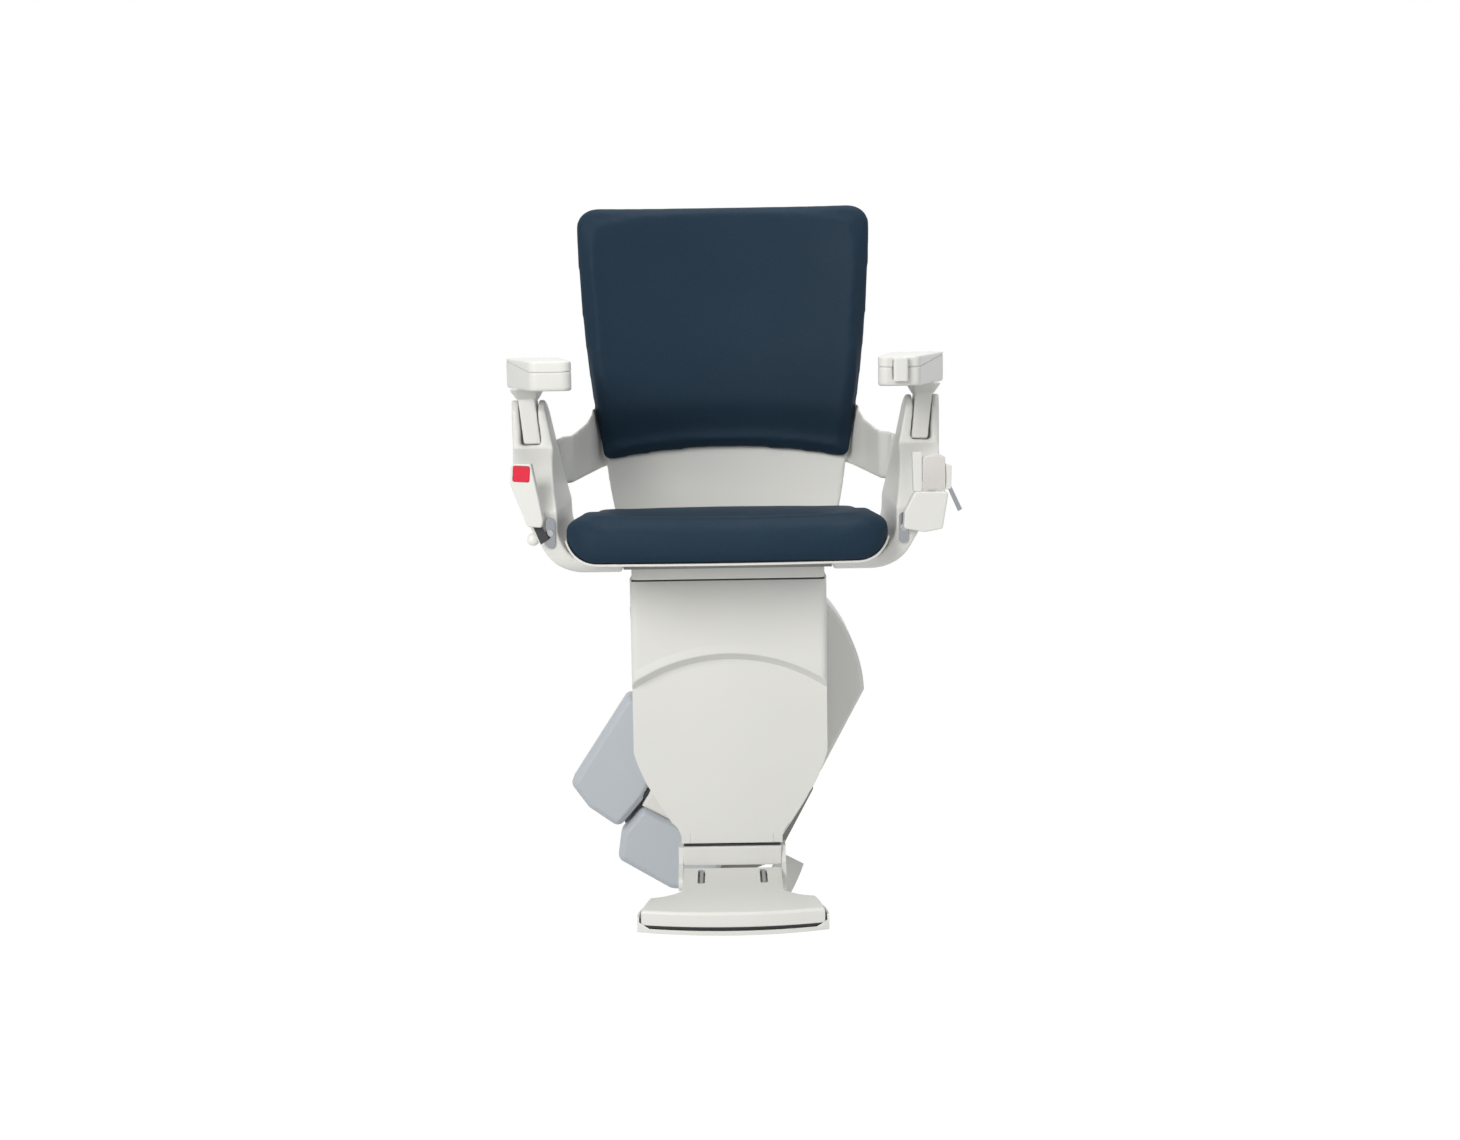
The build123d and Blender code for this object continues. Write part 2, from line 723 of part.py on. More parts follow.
with BuildPart() as footrest_shaft:
    with BuildSketch(side_plane(-bar_half - lug_t)):
        with Locations((hinge_y, hinge_z)):
            Circle(hinge_shaft_r)
    extrude(amount=2 * (bar_half + lug_t))
write(footrest_shaft.part, "footrest_shaft")

plate_shoulder = (118.0, -386.0)


def footplate_line(grow):
    """Plan of the footplate: narrow neck, rounded shoulders, and a nose that bows forward."""
    neck, half = plate_neck_half + grow, plate_half + grow
    nose, side_y = plate_nose - grow, plate_side_y
    with BuildLine() as outline:
        for side in (1, -1):
            Line((side * neck, plate_neck_front + 30), (side * neck, plate_neck_front + grow))
            ThreePointArc((side * neck, plate_neck_front + grow),
                          (side * (neck + 14), plate_neck_front - 19 + grow),
                          (side * plate_shoulder[0], plate_shoulder[1] + grow))
            ThreePointArc((side * plate_shoulder[0], plate_shoulder[1] + grow),
                          (side * (half - 3), side_y + 30 + grow / 2), (side * half, side_y))
        ThreePointArc((-half, side_y), (0, nose), (half, side_y))
        Line((-neck, plate_neck_front + 30), (neck, plate_neck_front + 30))
    return outline.line


plate_plan = footplate_line(0)
pan_outer_plan = footplate_line(pan_gap + pan_wall)
pan_inner_plan = footplate_line(pan_gap)
plate_bottom = plate_top - plate_thick
with BuildPart() as footplate:
    with BuildSketch(top_plane(plate_bottom)):
        with BuildLine():
            add(plate_plan)
        make_face()
    extrude(amount=plate_thick)
    fillet(footplate.edges().group_by(Axis.Z)[-1].filter_by(GeomType.CIRCLE), 5)
    with BuildSketch(side_plane(-plate_neck_half)):
        with BuildLine():
            Polyline((plate_neck_front + 30, plate_top), (hinge_y + 12, plate_top), (hinge_y + 12, hinge_z))
            ThreePointArc((hinge_y + 12, hinge_z), (hinge_y, hinge_z - 12), (hinge_y - 12, hinge_z - 3))
            Polyline((hinge_y - 12, hinge_z - 3), (hinge_y - 24, plate_bottom), (plate_neck_front + 30, plate_bottom),
                     (plate_neck_front + 30, plate_top))
        make_face()
        with Locations((hinge_y, hinge_z)):
            Circle(hinge_shaft_r + running_gap, mode=Mode.SUBTRACT)
    extrude(amount=plate_neck_half * 2)
    with BuildSketch(top_plane(plate_top)):
        with Locations([(side * rod_x, rod_back - rod_length / 2) for side in (-1, 1)]):
            SlotOverall(rod_length - 6, 11, rotation=90)
    extrude(amount=-2 * rod_r - 2, mode=Mode.SUBTRACT)
    with BuildSketch(Plane(origin=(0, rod_back, plate_top - rod_r - 0.5), x_dir=(1, 0, 0), z_dir=(0, -1, 0))):
        with Locations((-rod_x, 0), (rod_x, 0)):
            Circle(rod_r)
    extrude(amount=rod_length, mode=Mode.SUBTRACT)
write(footplate.part, "footplate")

with BuildPart() as rods:
    for side in (-1, 1):
        with BuildSketch(Plane(origin=(side * rod_x, rod_back, plate_top - rod_r - 0.5), x_dir=(1, 0, 0),
                               z_dir=(0, -1, 0))):
            Circle(rod_r)
        extrude(amount=rod_length)
write(rods.part, "hinge_rods")

pan_top = plate_bottom - pan_travel - 0.5
with BuildPart() as safety_pan:
    with BuildSketch(top_plane(pan_top - pan_floor_t)):
        with BuildLine():
            add(pan_outer_plan)
        make_face()
        with Locations((0, 0)):
            Rectangle(600, 2 * abs(plate_neck_front + 24), mode=Mode.SUBTRACT)
    extrude(amount=pan_floor_t)
    with BuildSketch(top_plane(pan_top)):
        with BuildLine():
            add(pan_outer_plan)
        make_face()
        with BuildLine():
            add(pan_inner_plan)
        make_face(mode=Mode.SUBTRACT)
        with Locations((0, 0)):
            Rectangle(600, 2 * abs(plate_shoulder[1]), mode=Mode.SUBTRACT)
    extrude(amount=plate_bottom + 14 - pan_top)
    with BuildSketch(side_plane(-200)):
        with BuildLine():
            Polyline((plate_nose - 20, plate_bottom + 20), (plate_nose - 20, plate_bottom - 1),
                     (plate_side_y - 4, plate_bottom - 1), (plate_side_y + 6, plate_bottom + 20), close=True)
        make_face()
    extrude(amount=400, mode=Mode.SUBTRACT)
write(safety_pan.part, "safety_pan")

# ================================================================ seat base and swivel
with BuildPart() as swivel_hub:
    with BuildSketch(top_plane(hub_bottom)):
        with Locations((0, swivel_y)):
            Circle(swivel_ring_r)
            Circle(swivel_post_r + running_gap, mode=Mode.SUBTRACT)
    extrude(amount=hub_top - hub_bottom)
write(swivel_hub.part, "swivel_hub")

with BuildPart() as swivel_housing:
    with BuildSketch(top_plane(hub_bottom)):
        with Locations((0, (swivel_front + swivel_back) / 2)):
            RectangleRounded(2 * swivel_half, swivel_back - swivel_front, 12)
            RectangleRounded(2 * (swivel_half - wall), swivel_back - swivel_front - 2 * wall, 9, mode=Mode.SUBTRACT)
    extrude(amount=hub_top - hub_bottom)
write(swivel_housing.part, "swivel_housing")

upright_half = 90.0
ear_x = 100.0
ear_t = 12.0
hinge_lug_r = 9.0
with BuildPart() as seat_base:
    with BuildSketch(top_plane(hub_top)):
        with Locations((0, (base_front + base_back) / 2)):
            Rectangle(2 * base_half, base_back - base_front)
        with Locations([(side * 105, (base_front + swivel_y) / 2 - 20) for side in (-1, 1)]):
            RectangleRounded(60, 70, 8, mode=Mode.SUBTRACT)
    extrude(amount=base_top - hub_top)
    with BuildSketch(side_plane(-upright_half)):
        with BuildLine():
            lean = tan(radians(recline))
            foot_y = back_y + shell_t / cos(radians(recline)) + 0.02 + (hub_top - back_z) * lean
            Polyline((base_back, hub_top), (foot_y + 5, hub_top), (foot_y + 5 + 130 * lean, hub_top + 130),
                     (foot_y + 130 * lean, hub_top + 130), (foot_y + 9 * lean, hub_top + 9), (base_back, hub_top + 9),
                     close=True)
        make_face()
    extrude(amount=2 * upright_half)
    for side in (-1, 1):
        lug_x = side * (ear_x + ear_t + seat_gap) - (0 if side > 0 else 8)
        with BuildSketch(side_plane(lug_x)):
            with BuildLine():
                ThreePointArc((seat_hinge_y + hinge_lug_r, seat_hinge_z), (seat_hinge_y, seat_hinge_z + hinge_lug_r),
                              (seat_hinge_y - hinge_lug_r, seat_hinge_z))
                Polyline((seat_hinge_y - hinge_lug_r, seat_hinge_z), (seat_hinge_y - hinge_lug_r, base_top),
                         (base_back - 8, base_top), (base_back - 8, hub_top), (seat_hinge_y + hinge_lug_r, hub_top),
                         (seat_hinge_y + hinge_lug_r, seat_hinge_z))
            make_face()
            with Locations((seat_hinge_y, seat_hinge_z)):
                Circle(seat_pin_r, mode=Mode.SUBTRACT)
        extrude(amount=8)
write(seat_base.part, "seat_base")

with BuildPart() as seat_pins:
    for side in (-1, 1):
        with BuildSketch(side_plane(side * (ear_x - 2) - (0 if side > 0 else ear_t + 12))):
            with Locations((seat_hinge_y, seat_hinge_z)):
                Circle(seat_pin_r)
        extrude(amount=ear_t + 12)
write(seat_pins.part, "seat_hinge_pins")


# ================================================================ seat pan and cushion
def seat_plan(back, front, half):
    """Plan of the seat: bowed front with rounded corners, drawing in a little towards the back."""
    rear_half = half - 13
    with BuildLine() as outline:
        ThreePointArc((-half + 30, front + 12), (0, front), (half - 30, front + 12))
        for side in (1, -1):
            ThreePointArc((side * (half - 30), front + 12), (side * (half - 8), front + 24),
                          (side * half, front + 50))
            Line((side * half, front + 50), (side * half, -330))
            ThreePointArc((side * half, -330), (side * (half - 3), -190), (side * rear_half, back))
        Line((-rear_half, back), (rear_half, back))
    return outline.line


def seat_section(half, bottom, corner):
    """Front view of the seat below its crown: flat bottom, big lower corners, upright sides."""
    top = bottom + corner + 10
    with BuildLine() as outline:
        for side in (1, -1):
            Line((side * half, top), (side * half, bottom + corner))
            ThreePointArc((side * half, bottom + corner),
                          (side * (half - corner * (1 - sin(pi / 4))), bottom + corner * (1 - sin(pi / 4))),
                          (side * (half - corner), bottom))
        Line((-half + corner, bottom), (half - corner, bottom))
        Line((-half, top), (half, top))
    return outline.line


pan_half = cushion_half + seat_pan_t
pan_rim = 452.0
pan_plan = seat_plan(cushion_back + seat_pan_t, cushion_front + 5, pan_half)
core_plan = seat_plan(cushion_back, cushion_front - 30, cushion_half)
cushion_plan = seat_plan(cushion_back - 0.2, cushion_front, cushion_half - 0.2)
pan_outside = seat_section(pan_half, pan_bottom, cushion_corner + seat_pan_t)
pan_inside = seat_section(cushion_half, pan_bottom + seat_pan_t, cushion_corner)
with BuildPart() as pan_core:
    with BuildSketch(front_plane(20)):
        with BuildLine():
            add(pan_inside)
        make_face()
    extrude(amount=-cushion_front + 80)
    with BuildSketch(top_plane(pan_bottom)):
        with BuildLine():
            add(core_plan)
        make_face()
    extrude(amount=80, mode=Mode.INTERSECT)

with BuildPart() as seat_pan:
    with BuildSketch(front_plane(0)):
        with BuildLine():
            add(pan_outside)
        make_face()
    extrude(amount=-cushion_front + 50)
    with BuildSketch(top_plane(pan_bottom - 1)):
        with BuildLine():
            add(pan_plan)
        make_face()
    extrude(amount=pan_rim - pan_bottom + 1, mode=Mode.INTERSECT)
    add(pan_core.part, mode=Mode.SUBTRACT)
    for side in (-1, 1):
        with BuildSketch(side_plane(side * ear_x - (0 if side > 0 else ear_t))):
            with BuildLine():
                Polyline((cushion_back + 0.5, pan_bottom), (seat_hinge_y, seat_hinge_z - 8),
                         (seat_hinge_y, seat_hinge_z + 8), (cushion_back + 0.5, seat_hinge_z + 8), close=True)
            make_face()
            with Locations((seat_hinge_y, seat_hinge_z)):
                Circle(8)
                Circle(seat_pin_r + running_gap, mode=Mode.SUBTRACT)
        extrude(amount=ear_t)
write(seat_pan.part, "seat_pan")

with BuildPart() as seat_cushion:
    with BuildSketch(front_plane(0)):
        with BuildLine():
            ThreePointArc((-cushion_half + 12, cushion_crest + 2), (0, cushion_crest - 1),
                          (cushion_half - 12, cushion_crest + 2))
            for side in (1, -1):
                ThreePointArc((side * (cushion_half - 12), cushion_crest + 2),
                              (side * (cushion_half - 2.5), cushion_crest - 5),
                              (side * (cushion_half - 0.2), cushion_crest - 18))
                Line((side * (cushion_half - 0.2), cushion_crest - 18),
                     (side * (cushion_half - 0.2), pan_bottom + seat_pan_t + cushion_corner))
                ThreePointArc((side * (cushion_half - 0.2), pan_bottom + seat_pan_t + cushion_corner),
                              (side * (cushion_half - 0.4 - cushion_corner * (1 - sin(pi / 4))),
                               pan_bottom + seat_pan_t + 0.3 + cushion_corner * (1 - sin(pi / 4))),
                              (side * (cushion_half - cushion_corner), pan_bottom + seat_pan_t))
            Line((-cushion_half + cushion_corner, pan_bottom + seat_pan_t),
                 (cushion_half - cushion_corner, pan_bottom + seat_pan_t))
        make_face()
    extrude(amount=-cushion_front + 50)
    with BuildSketch(top_plane(pan_bottom)):
        with BuildLine():
            add(cushion_plan)
        make_face()
    extrude(amount=120, mode=Mode.INTERSECT)
    with BuildSketch(side_plane(-cushion_half - 10)):
        with BuildLine():
            Polyline((cushion_front + 4, pan_bottom), (cushion_back, pan_bottom),
                     (cushion_back, cushion_rear_top - 12))
            ThreePointArc((cushion_back, cushion_rear_top - 12), (cushion_back - 8, cushion_rear_top - 3),
                          (cushion_back - 26, cushion_rear_top))
            ThreePointArc((cushion_back - 26, cushion_rear_top), (-205, cushion_rear_top + 4),
                          (cushion_front + 50, cushion_crest))
            ThreePointArc((cushion_front + 50, cushion_crest), (cushion_front + 12, cushion_crest - 9),
                          (cushion_front, cushion_crest - 36))
            ThreePointArc((cushion_front, cushion_crest - 36), (cushion_front + 1, pan_bottom + 18),
                          (cushion_front + 4, pan_bottom))
        make_face()
    extrude(amount=2 * cushion_half + 20, mode=Mode.INTERSECT)
write(seat_cushion.part, "seat_cushion")

# ================================================================ arm frames
lean_x, lean_z = sin(radians(fork_lean)), cos(radians(fork_lean))
rear_edge = [(arm_back, 470), (-112, 520), (-124, 577), (fork_y + fork_half, arm_top - 17)]


def leaning(width, low, high):
    """Front outline of a bar leaning out with the fork, between two heights measured along it."""
    corners = []
    for along, across in ((low, -1), (low, 1), (high, 1), (high, -1)):
        corners.append((slot_x + lean_x * along + lean_z * across * width / 2,
                        slot_bottom + lean_z * along - lean_x * across * width / 2))
    return corners


def mirrored(points, side):
    return [(side * x, z) for x, z in points]


anchor_x = 249.0
anchor_z = 461.0
anchor_bolt_r = 3.0
anchor_bolt_depth = 14.0
lean_slope = tan(radians(fork_lean))
pin_x = slot_x + (arm_pin_z - slot_bottom) * lean_slope
pin_half = 27.0


def fold_room(side):
    """Room for a leaning stem to swing back: two cones about its pin, down to the slot's floor."""
    half = slot_width / 2 - stem_gap / 2
    reach = slot_depth + 10
    foot = sqrt(stem_front ** 2 + stem_half ** 2) + 1
    profile = [(pin_x - half - lean_slope * (stem_half + 0.5), 0), (pin_x - half - lean_slope * (stem_half + 0.5), foot),
               (pin_x - half + lean_slope * (foot - 24), foot), (pin_x - half + lean_slope * (reach - 24), reach),
               (pin_x + half + lean_slope * reach, reach), (pin_x + half, 0)]
    with BuildPart() as room:
        with BuildSketch(front_plane(fork_y)):
            with BuildLine():
                Polyline([(side * x, arm_pin_z + r) for x, r in profile], close=True)
            make_face()
        revolve(axis=Axis((0, fork_y, arm_pin_z), (1, 0, 0)))
        with BuildSketch(top_plane(slot_bottom)):
            with Locations((side * pin_x, fork_y)):
                Rectangle(4 * slot_width, 3 * reach)
        extrude(amount=2 * reach, mode=Mode.INTERSECT)
    return room.part


def arm_frame(side):
    """Arm frame: the front view's ribbon cut to the side view's taper, with a fork at its top."""
    with BuildPart() as arm:
        with BuildSketch(front_plane(0)):
            with BuildLine():
                Line((side * base_half, arm_bottom), (side * (arm_inner - 34), arm_bottom))
                ThreePointArc((side * (arm_inner - 34), arm_bottom), (side * arm_inner, arm_bottom + 11.5),
                              (side * (arm_inner + 23), arm_bottom + 38.5))
                ThreePointArc((side * (arm_inner + 23), arm_bottom + 38.5), (side * (arm_outer - 33), arm_bottom + 84.5),
                              (side * (arm_outer - 13), arm_bottom + 133.5))
                ThreePointArc((side * (arm_outer - 13), arm_bottom + 133.5), (side * (arm_outer - 4), arm_bottom + 160.5),
                              (side * arm_outer, arm_bottom + 188.5))
                Line((side * arm_outer, arm_bottom + 188.5), (side * arm_outer, arm_top))
                Line((side * arm_outer, arm_top), (side * (slot_x - 18), arm_top))
                ThreePointArc((side * (slot_x - 18), arm_top), (side * (slot_x - 30), arm_top - 63),
                              (side * arm_inner, 490))
                Line((side * arm_inner, 490), (side * arm_inner, 468))
                ThreePointArc((side * arm_inner, 468), (side * (arm_inner - 15.5), 430.5),
                              (side * (arm_inner - 53), 415))
                Polyline((side * (arm_inner - 53), 415), (side * base_half, 415), (side * base_half, arm_bottom))
            make_face()
        extrude(amount=-arm_front + 20)
        with BuildSketch(side_plane(-2 * arm_outer)):
            with BuildLine():
                fork_front = fork_y - fork_half - 1
                Polyline([(-62, 400), (-62, 415)] + rear_edge)
                ThreePointArc(rear_edge[-1], (fork_y, arm_top), (fork_front, arm_top - 17))
                Line((fork_front, arm_top - 17), (fork_front - 4, slot_bottom - 5))
                ThreePointArc((fork_front - 4, slot_bottom - 5), (-282, slot_bottom - 38), (arm_front, 490))
                Line((arm_front, 490), (arm_front, 425))
                ThreePointArc((arm_front, 425), (arm_front + 7, 407), (arm_front + 24, 400))
                Line((arm_front + 24, 400), (-62, 400))
            make_face()
        extrude(amount=4 * arm_outer, mode=Mode.INTERSECT)
        with BuildSketch(top_plane(arm_bottom - 5)):
            with BuildLine():
                Polyline((side * (arm_outer + 20), fork_y), (side * arm_outer, fork_y),
                         (side * (arm_outer - arm_draft), arm_front - 2), (side * (arm_outer + 20), arm_front - 2),
                         close=True)
            make_face()
        extrude(amount=arm_top - arm_bottom + 10, mode=Mode.SUBTRACT)
        with BuildSketch(front_plane(20)):
            with BuildLine():
                Polyline(mirrored(leaning(slot_width, 0, 100), side), close=True)
            make_face()
        extrude(amount=400, mode=Mode.SUBTRACT)
        add(fold_room(side), mode=Mode.SUBTRACT)
        with BuildSketch(side_plane(side * (pin_x - pin_half))):
            with Locations((fork_y, arm_pin_z)):
                Circle(arm_pin_r)
        extrude(amount=side * 3 * pin_half, mode=Mode.SUBTRACT)
        with BuildSketch(front_plane(arm_front + anchor_bolt_depth)):
            with Locations((side * anchor_x, anchor_z)):
                Circle(anchor_bolt_r)
        extrude(amount=anchor_bolt_depth + 5, mode=Mode.SUBTRACT)
        if side < 0:
            with BuildSketch(front_plane(lever_y + 6)):
                with Locations((lever_x - 10, lever_z)):
                    Rectangle(34, 18)
            extrude(amount=12, mode=Mode.SUBTRACT)
            with BuildSketch(front_plane(lever_y + 11)):
                with Locations((lever_x, lever_z)):
                    Circle(lever_pin_r)
            extrude(amount=22, mode=Mode.SUBTRACT)
    return arm.part


lever_x = -256.0
lever_y = -250.0
lever_z = 442.0
lever_pin_r = 2.0
knob_r = 9.5
write(arm_frame(-1), "arm_frame_left")
write(arm_frame(1), "arm_frame_right")

with BuildPart() as arm_pins:
    for side in (-1, 1):
        with BuildSketch(side_plane(side * (pin_x - pin_half))):
            with Locations((fork_y, arm_pin_z)):
                Circle(arm_pin_r)
        extrude(amount=side * 2 * pin_half)
write(arm_pins.part, "armrest_pins")

neck_low = arm_top + 1.5
neck_x = slot_x + (neck_low - slot_bottom) * lean_slope


def arm_stem(side):
    """Stem of an armrest: leans out with the fork, its foot round behind the pin."""
    foot_z = arm_pin_z - stem_half
    with BuildPart() as stem:
        with BuildSketch(front_plane(0)):
            with BuildLine():
                Polyline(mirrored(leaning(slot_width - 2 * stem_gap, 0.5, 80), side), close=True)
            make_face()
        extrude(amount=300)
        with BuildSketch(side_plane(-2 * arm_outer)):
            with BuildLine():
                Polyline((fork_y + stem_half, arm_pin_z), (fork_y + stem_half, neck_low),
                         (fork_y - stem_front, neck_low), (fork_y - stem_front, foot_z), (fork_y, foot_z))
                RadiusArc((fork_y, foot_z), (fork_y + stem_half, arm_pin_z), -stem_half)
            make_face()
            with Locations((fork_y, arm_pin_z)):
                Circle(arm_pin_r + running_gap, mode=Mode.SUBTRACT)
        extrude(amount=4 * arm_outer, mode=Mode.INTERSECT)
    return stem.part


rest_plan = [(slot_x - 76, rest_front), (slot_x - 16.5, rest_front), (slot_x + 50, rest_back), (slot_x - 33, rest_back)]
toggle_x = slot_x - 44
toggle_y = rest_front + 11
toggle_pin_r = 2.5


def armrest(side, cap):
    """Armrest body or its cap: one plan, parted by a line that rises to the back."""
    with BuildPart() as rest:
        with BuildSketch(top_plane(rest_bottom)):
            with BuildLine():
                Polyline(mirrored(rest_plan, side), close=True)
            make_face()
            fillet(vertices(), 13)
        extrude(amount=rest_depth + rest_rise)
        with BuildSketch(side_plane(-2 * arm_outer)):
            with BuildLine():
                Polyline((rest_front - 5, rest_top), (rest_back + 5, rest_top + rest_rise),
                         (rest_back + 5, rest_top + 3 * rest_rise), (rest_front - 5, rest_top + 3 * rest_rise),
                         close=True)
            make_face()
        extrude(amount=4 * arm_outer, mode=Mode.SUBTRACT)
        fillet(rest.faces().sort_by(Axis.Z)[-1].edges(), 2.5)
        fillet(rest.edges().group_by(Axis.Z)[0], 4)
        with BuildSketch(side_plane(-2 * arm_outer)):
            with BuildLine():
                front, back = (rest_front - 5, rest_split), (rest_back + 10, rest_top + rest_rise - 3)
                far_z = rest_bottom - 5 if cap else rest_top + 3 * rest_rise
                Polyline(front, back, (back[0], far_z), (front[0], far_z), close=True)
            make_face()
        extrude(amount=4 * arm_outer, mode=Mode.SUBTRACT)
        if not cap:
            with BuildSketch(top_plane(neck_low)):
                with Locations((side * neck_x, fork_y - (stem_front - stem_half) / 2)):
                    RectangleRounded(30, stem_front + stem_half, 3)
            with BuildSketch(top_plane(rest_bottom + 0.5)):
                with Locations((side * (slot_x + 8), fork_y - 5)):
                    RectangleRounded(46, 96, 10)
            loft()
            add(arm_stem(side))
        if side > 0:
            with BuildSketch(front_plane(rest_front + 20)):
                with Locations((toggle_x, rest_bottom + 2 + rest_depth / 2)):
                    RectangleRounded(20, rest_depth - 12, 3)
            extrude(amount=40, mode=Mode.SUBTRACT)
            with BuildSketch(top_plane(rest_bottom + 4)):
                with Locations((toggle_x, toggle_y)):
                    Circle(toggle_pin_r + running_gap)
            extrude(amount=rest_depth - 5.5, mode=Mode.SUBTRACT)
    return rest.part


for side, name in ((-1, "left"), (1, "right")):
    write(armrest(side, False), "armrest_body_" + name)
    write(armrest(side, True), "armrest_cap_" + name)

with BuildPart() as toggle:
    with BuildSketch(top_plane(rest_bottom + 9)):
        with Locations((toggle_x, toggle_y)):
            Circle(6)
        with Locations((toggle_x, toggle_y - 11)):
            RectangleRounded(14, 22, 3)
    extrude(amount=rest_depth - 14)
    with BuildSketch(top_plane(rest_bottom + 4.5)):
        with Locations((toggle_x, toggle_y)):
            Circle(toggle_pin_r)
    extrude(amount=rest_depth - 6.5)
write(toggle.part, "armrest_toggle")

# ================================================================ back
cushion_sides = ((194, 80), (221, 262), (233, 482))
top_corner_r = 30.0
low_corner_r = 13.0


def back_line(grow, with_skirt):
    """Outline of the back in its own plane, corners still sharp: the sides spread upwards."""
    low, mid, high = [(x + grow, s) for x, s in cushion_sides]
    top = high[1] + grow
    with BuildLine() as outline:
        ThreePointArc((-high[0], top), (0, top + 5), (high[0], top))
        for side in (1, -1):
            ThreePointArc((side * high[0], top), (side * mid[0], mid[1]), (side * low[0], low[1]))
            if with_skirt:
                ThreePointArc((side * low[0], low[1]), (side * 184, 30), (side * 168, -42))
        if with_skirt:
            Line((-168, -42), (168, -42))
        else:
            ThreePointArc((-low[0], low[1]), (0, low[1] + 23), low)
    return outline.line


tilt = radians(recline)
band_start = (0, back_y - 60 * sin(tilt), back_z - 60 * cos(tilt))
band_plane = Plane(origin=band_start, x_dir=(1, 0, 0), z_dir=(0, sin(tilt), cos(tilt)))


def back_body(line, band):
    """Slab up the back between two hollow arcs, cut to an outline whose corners are rounded."""
    with BuildPart() as body:
        with BuildSketch(band_plane):
            with BuildLine():
                add(band)
            make_face()
        extrude(amount=620)
        with BuildSketch(back_plane(-60)) as sheet:
            with BuildLine():
                add(line)
            make_face()
            fillet(sheet.vertices().group_by(Axis.Y)[-1], top_corner_r)
            fillet(sheet.vertices().group_by(Axis.Y)[0], low_corner_r)
        extrude(amount=260, mode=Mode.INTERSECT)
    return body.part


def bowed_band(front, back):
    """Plan of a band between two arcs hollowed towards the viewer, measured from the back's plane."""
    reach = 300.0
    with BuildLine() as outline:
        for lift in (front, back):
            sag = shell_bow - sqrt(shell_bow ** 2 - reach ** 2)
            ThreePointArc((-reach, -lift - sag), (0, -lift), (reach, -lift - sag))
        for side in (-1, 1):
            Line((side * reach, -front - sag), (side * reach, -back - sag))
    return outline.line


wing_path = [(250, -134, 9), (243, -96, 9), (228, -48, 9), (213, -4, 12), (206, 13, 16)]
wing_parts = []
for side in (-1, 1):
    with BuildPart() as wing:
        with BuildSketch(top_plane(490)):
            with BuildLine():
                outer_edge = [(side * x, y) for x, y, thick in wing_path]
                inner_edge = [(side * (x - thick), y + 2) for x, y, thick in reversed(wing_path)]
                Polyline(outer_edge + inner_edge, close=True)
            make_face()
        extrude(amount=160)
        with BuildSketch(front_plane(50)):
            with BuildLine():
                Polyline(mirrored([(262, 574), (250, 578), (236, 587), (220, 600), (211, 615), (207, 645), (180, 645),
                                   (180, 532), (200, 528), (227, 517), (250, 508), (262, 505)], side), close=True)
            make_face()
            fillet(vertices().filter_by(lambda corner: abs(abs(corner.X) - 220) < 12), 12)
        extrude(amount=300, mode=Mode.INTERSECT)
        with BuildSketch(side_plane(-400)):
            with BuildLine():
                ahead = [(y + seat_gap, z) for y, z in rear_edge]
                Polyline([(-300, 470)] + ahead + [(-300, 626)], close=True)
            make_face()
        extrude(amount=800, mode=Mode.SUBTRACT)
    wing_parts.append(wing.part)

shell_outline = back_line(-3, True)
cushion_outline = back_line(0, False)
shell_band = bowed_band(0, -shell_t)
cushion_band = bowed_band(back_cushion_lift + back_cushion_t, back_cushion_lift)
room_outline = back_line(0.4, False)
room_band = bowed_band(back_cushion_t + 80, 0)
cushion_room = back_body(room_outline, room_band)
shell_panel = back_body(shell_outline, shell_band)
cushion_slab = back_body(cushion_outline, cushion_band)

with BuildPart() as back_shell:
    add(shell_panel)
    for piece in wing_parts:
        add(piece)
    add(cushion_room, mode=Mode.SUBTRACT)
write(back_shell.part, "back_shell")

with BuildPart() as back_cushion:
    add(cushion_slab)
    fillet(back_cushion.faces().sort_by(Axis.Y)[0].edges(), 10)
write(back_cushion.part, "back_cushion")

# ================================================================ belt and its anchors
anchor_y = arm_front
with BuildPart() as anchors:
    for side in (-1, 1):
        with BuildSketch(front_plane(anchor_y)):
            with Locations((side * anchor_x, anchor_z)):
                SlotOverall(44, 13, rotation=90)
                Circle(anchor_bolt_r, mode=Mode.SUBTRACT)
        extrude(amount=3)
write(anchors.part, "belt_anchors")

with BuildPart() as bolts:
    for side in (-1, 1):
        with BuildSketch(front_plane(arm_front + anchor_bolt_depth)):
            with Locations((side * anchor_x, anchor_z)):
                Circle(anchor_bolt_r)
        extrude(amount=anchor_bolt_depth + seat_gap + 3)
        with BuildSketch(front_plane(anchor_y - 3)):
            with Locations((side * anchor_x, anchor_z)):
                RegularPolygon(5, 6)
        extrude(amount=4)
write(bolts.part, "anchor_bolts")

buckle_back = -344.0
buckle_t = 22.0
buckle_front = buckle_back - buckle_t
button_place = (-285.2, 546.2)
button_size = (22.5, 21.5)
button_turn = -4.0
button_travel = 3.5
button_t = 5.0
with BuildPart() as stalk:
    with BuildSketch(front_plane(buckle_back - 8)):
        with BuildLine():
            Polyline((-257.5, 437), (-266, 437), (-273, 466.5), (-263, 467.5), (-257.5, 450), close=True)
        make_face()
    extrude(amount=3)
    with BuildSketch(front_plane(anchor_y - 3)):
        with BuildLine():
            Polyline((-243, 437), (-266, 437), (-266, 449), (-243, 449), close=True)
        make_face()
    extrude(amount=9.7)
    with BuildSketch(front_plane(buckle_back - 8)):
        with BuildLine():
            Polyline((-263, 466), (-273, 466), (-276, 482), (-266, 482), close=True)
        make_face()
    extrude(amount=3)
write(stalk.part, "buckle_stalk")

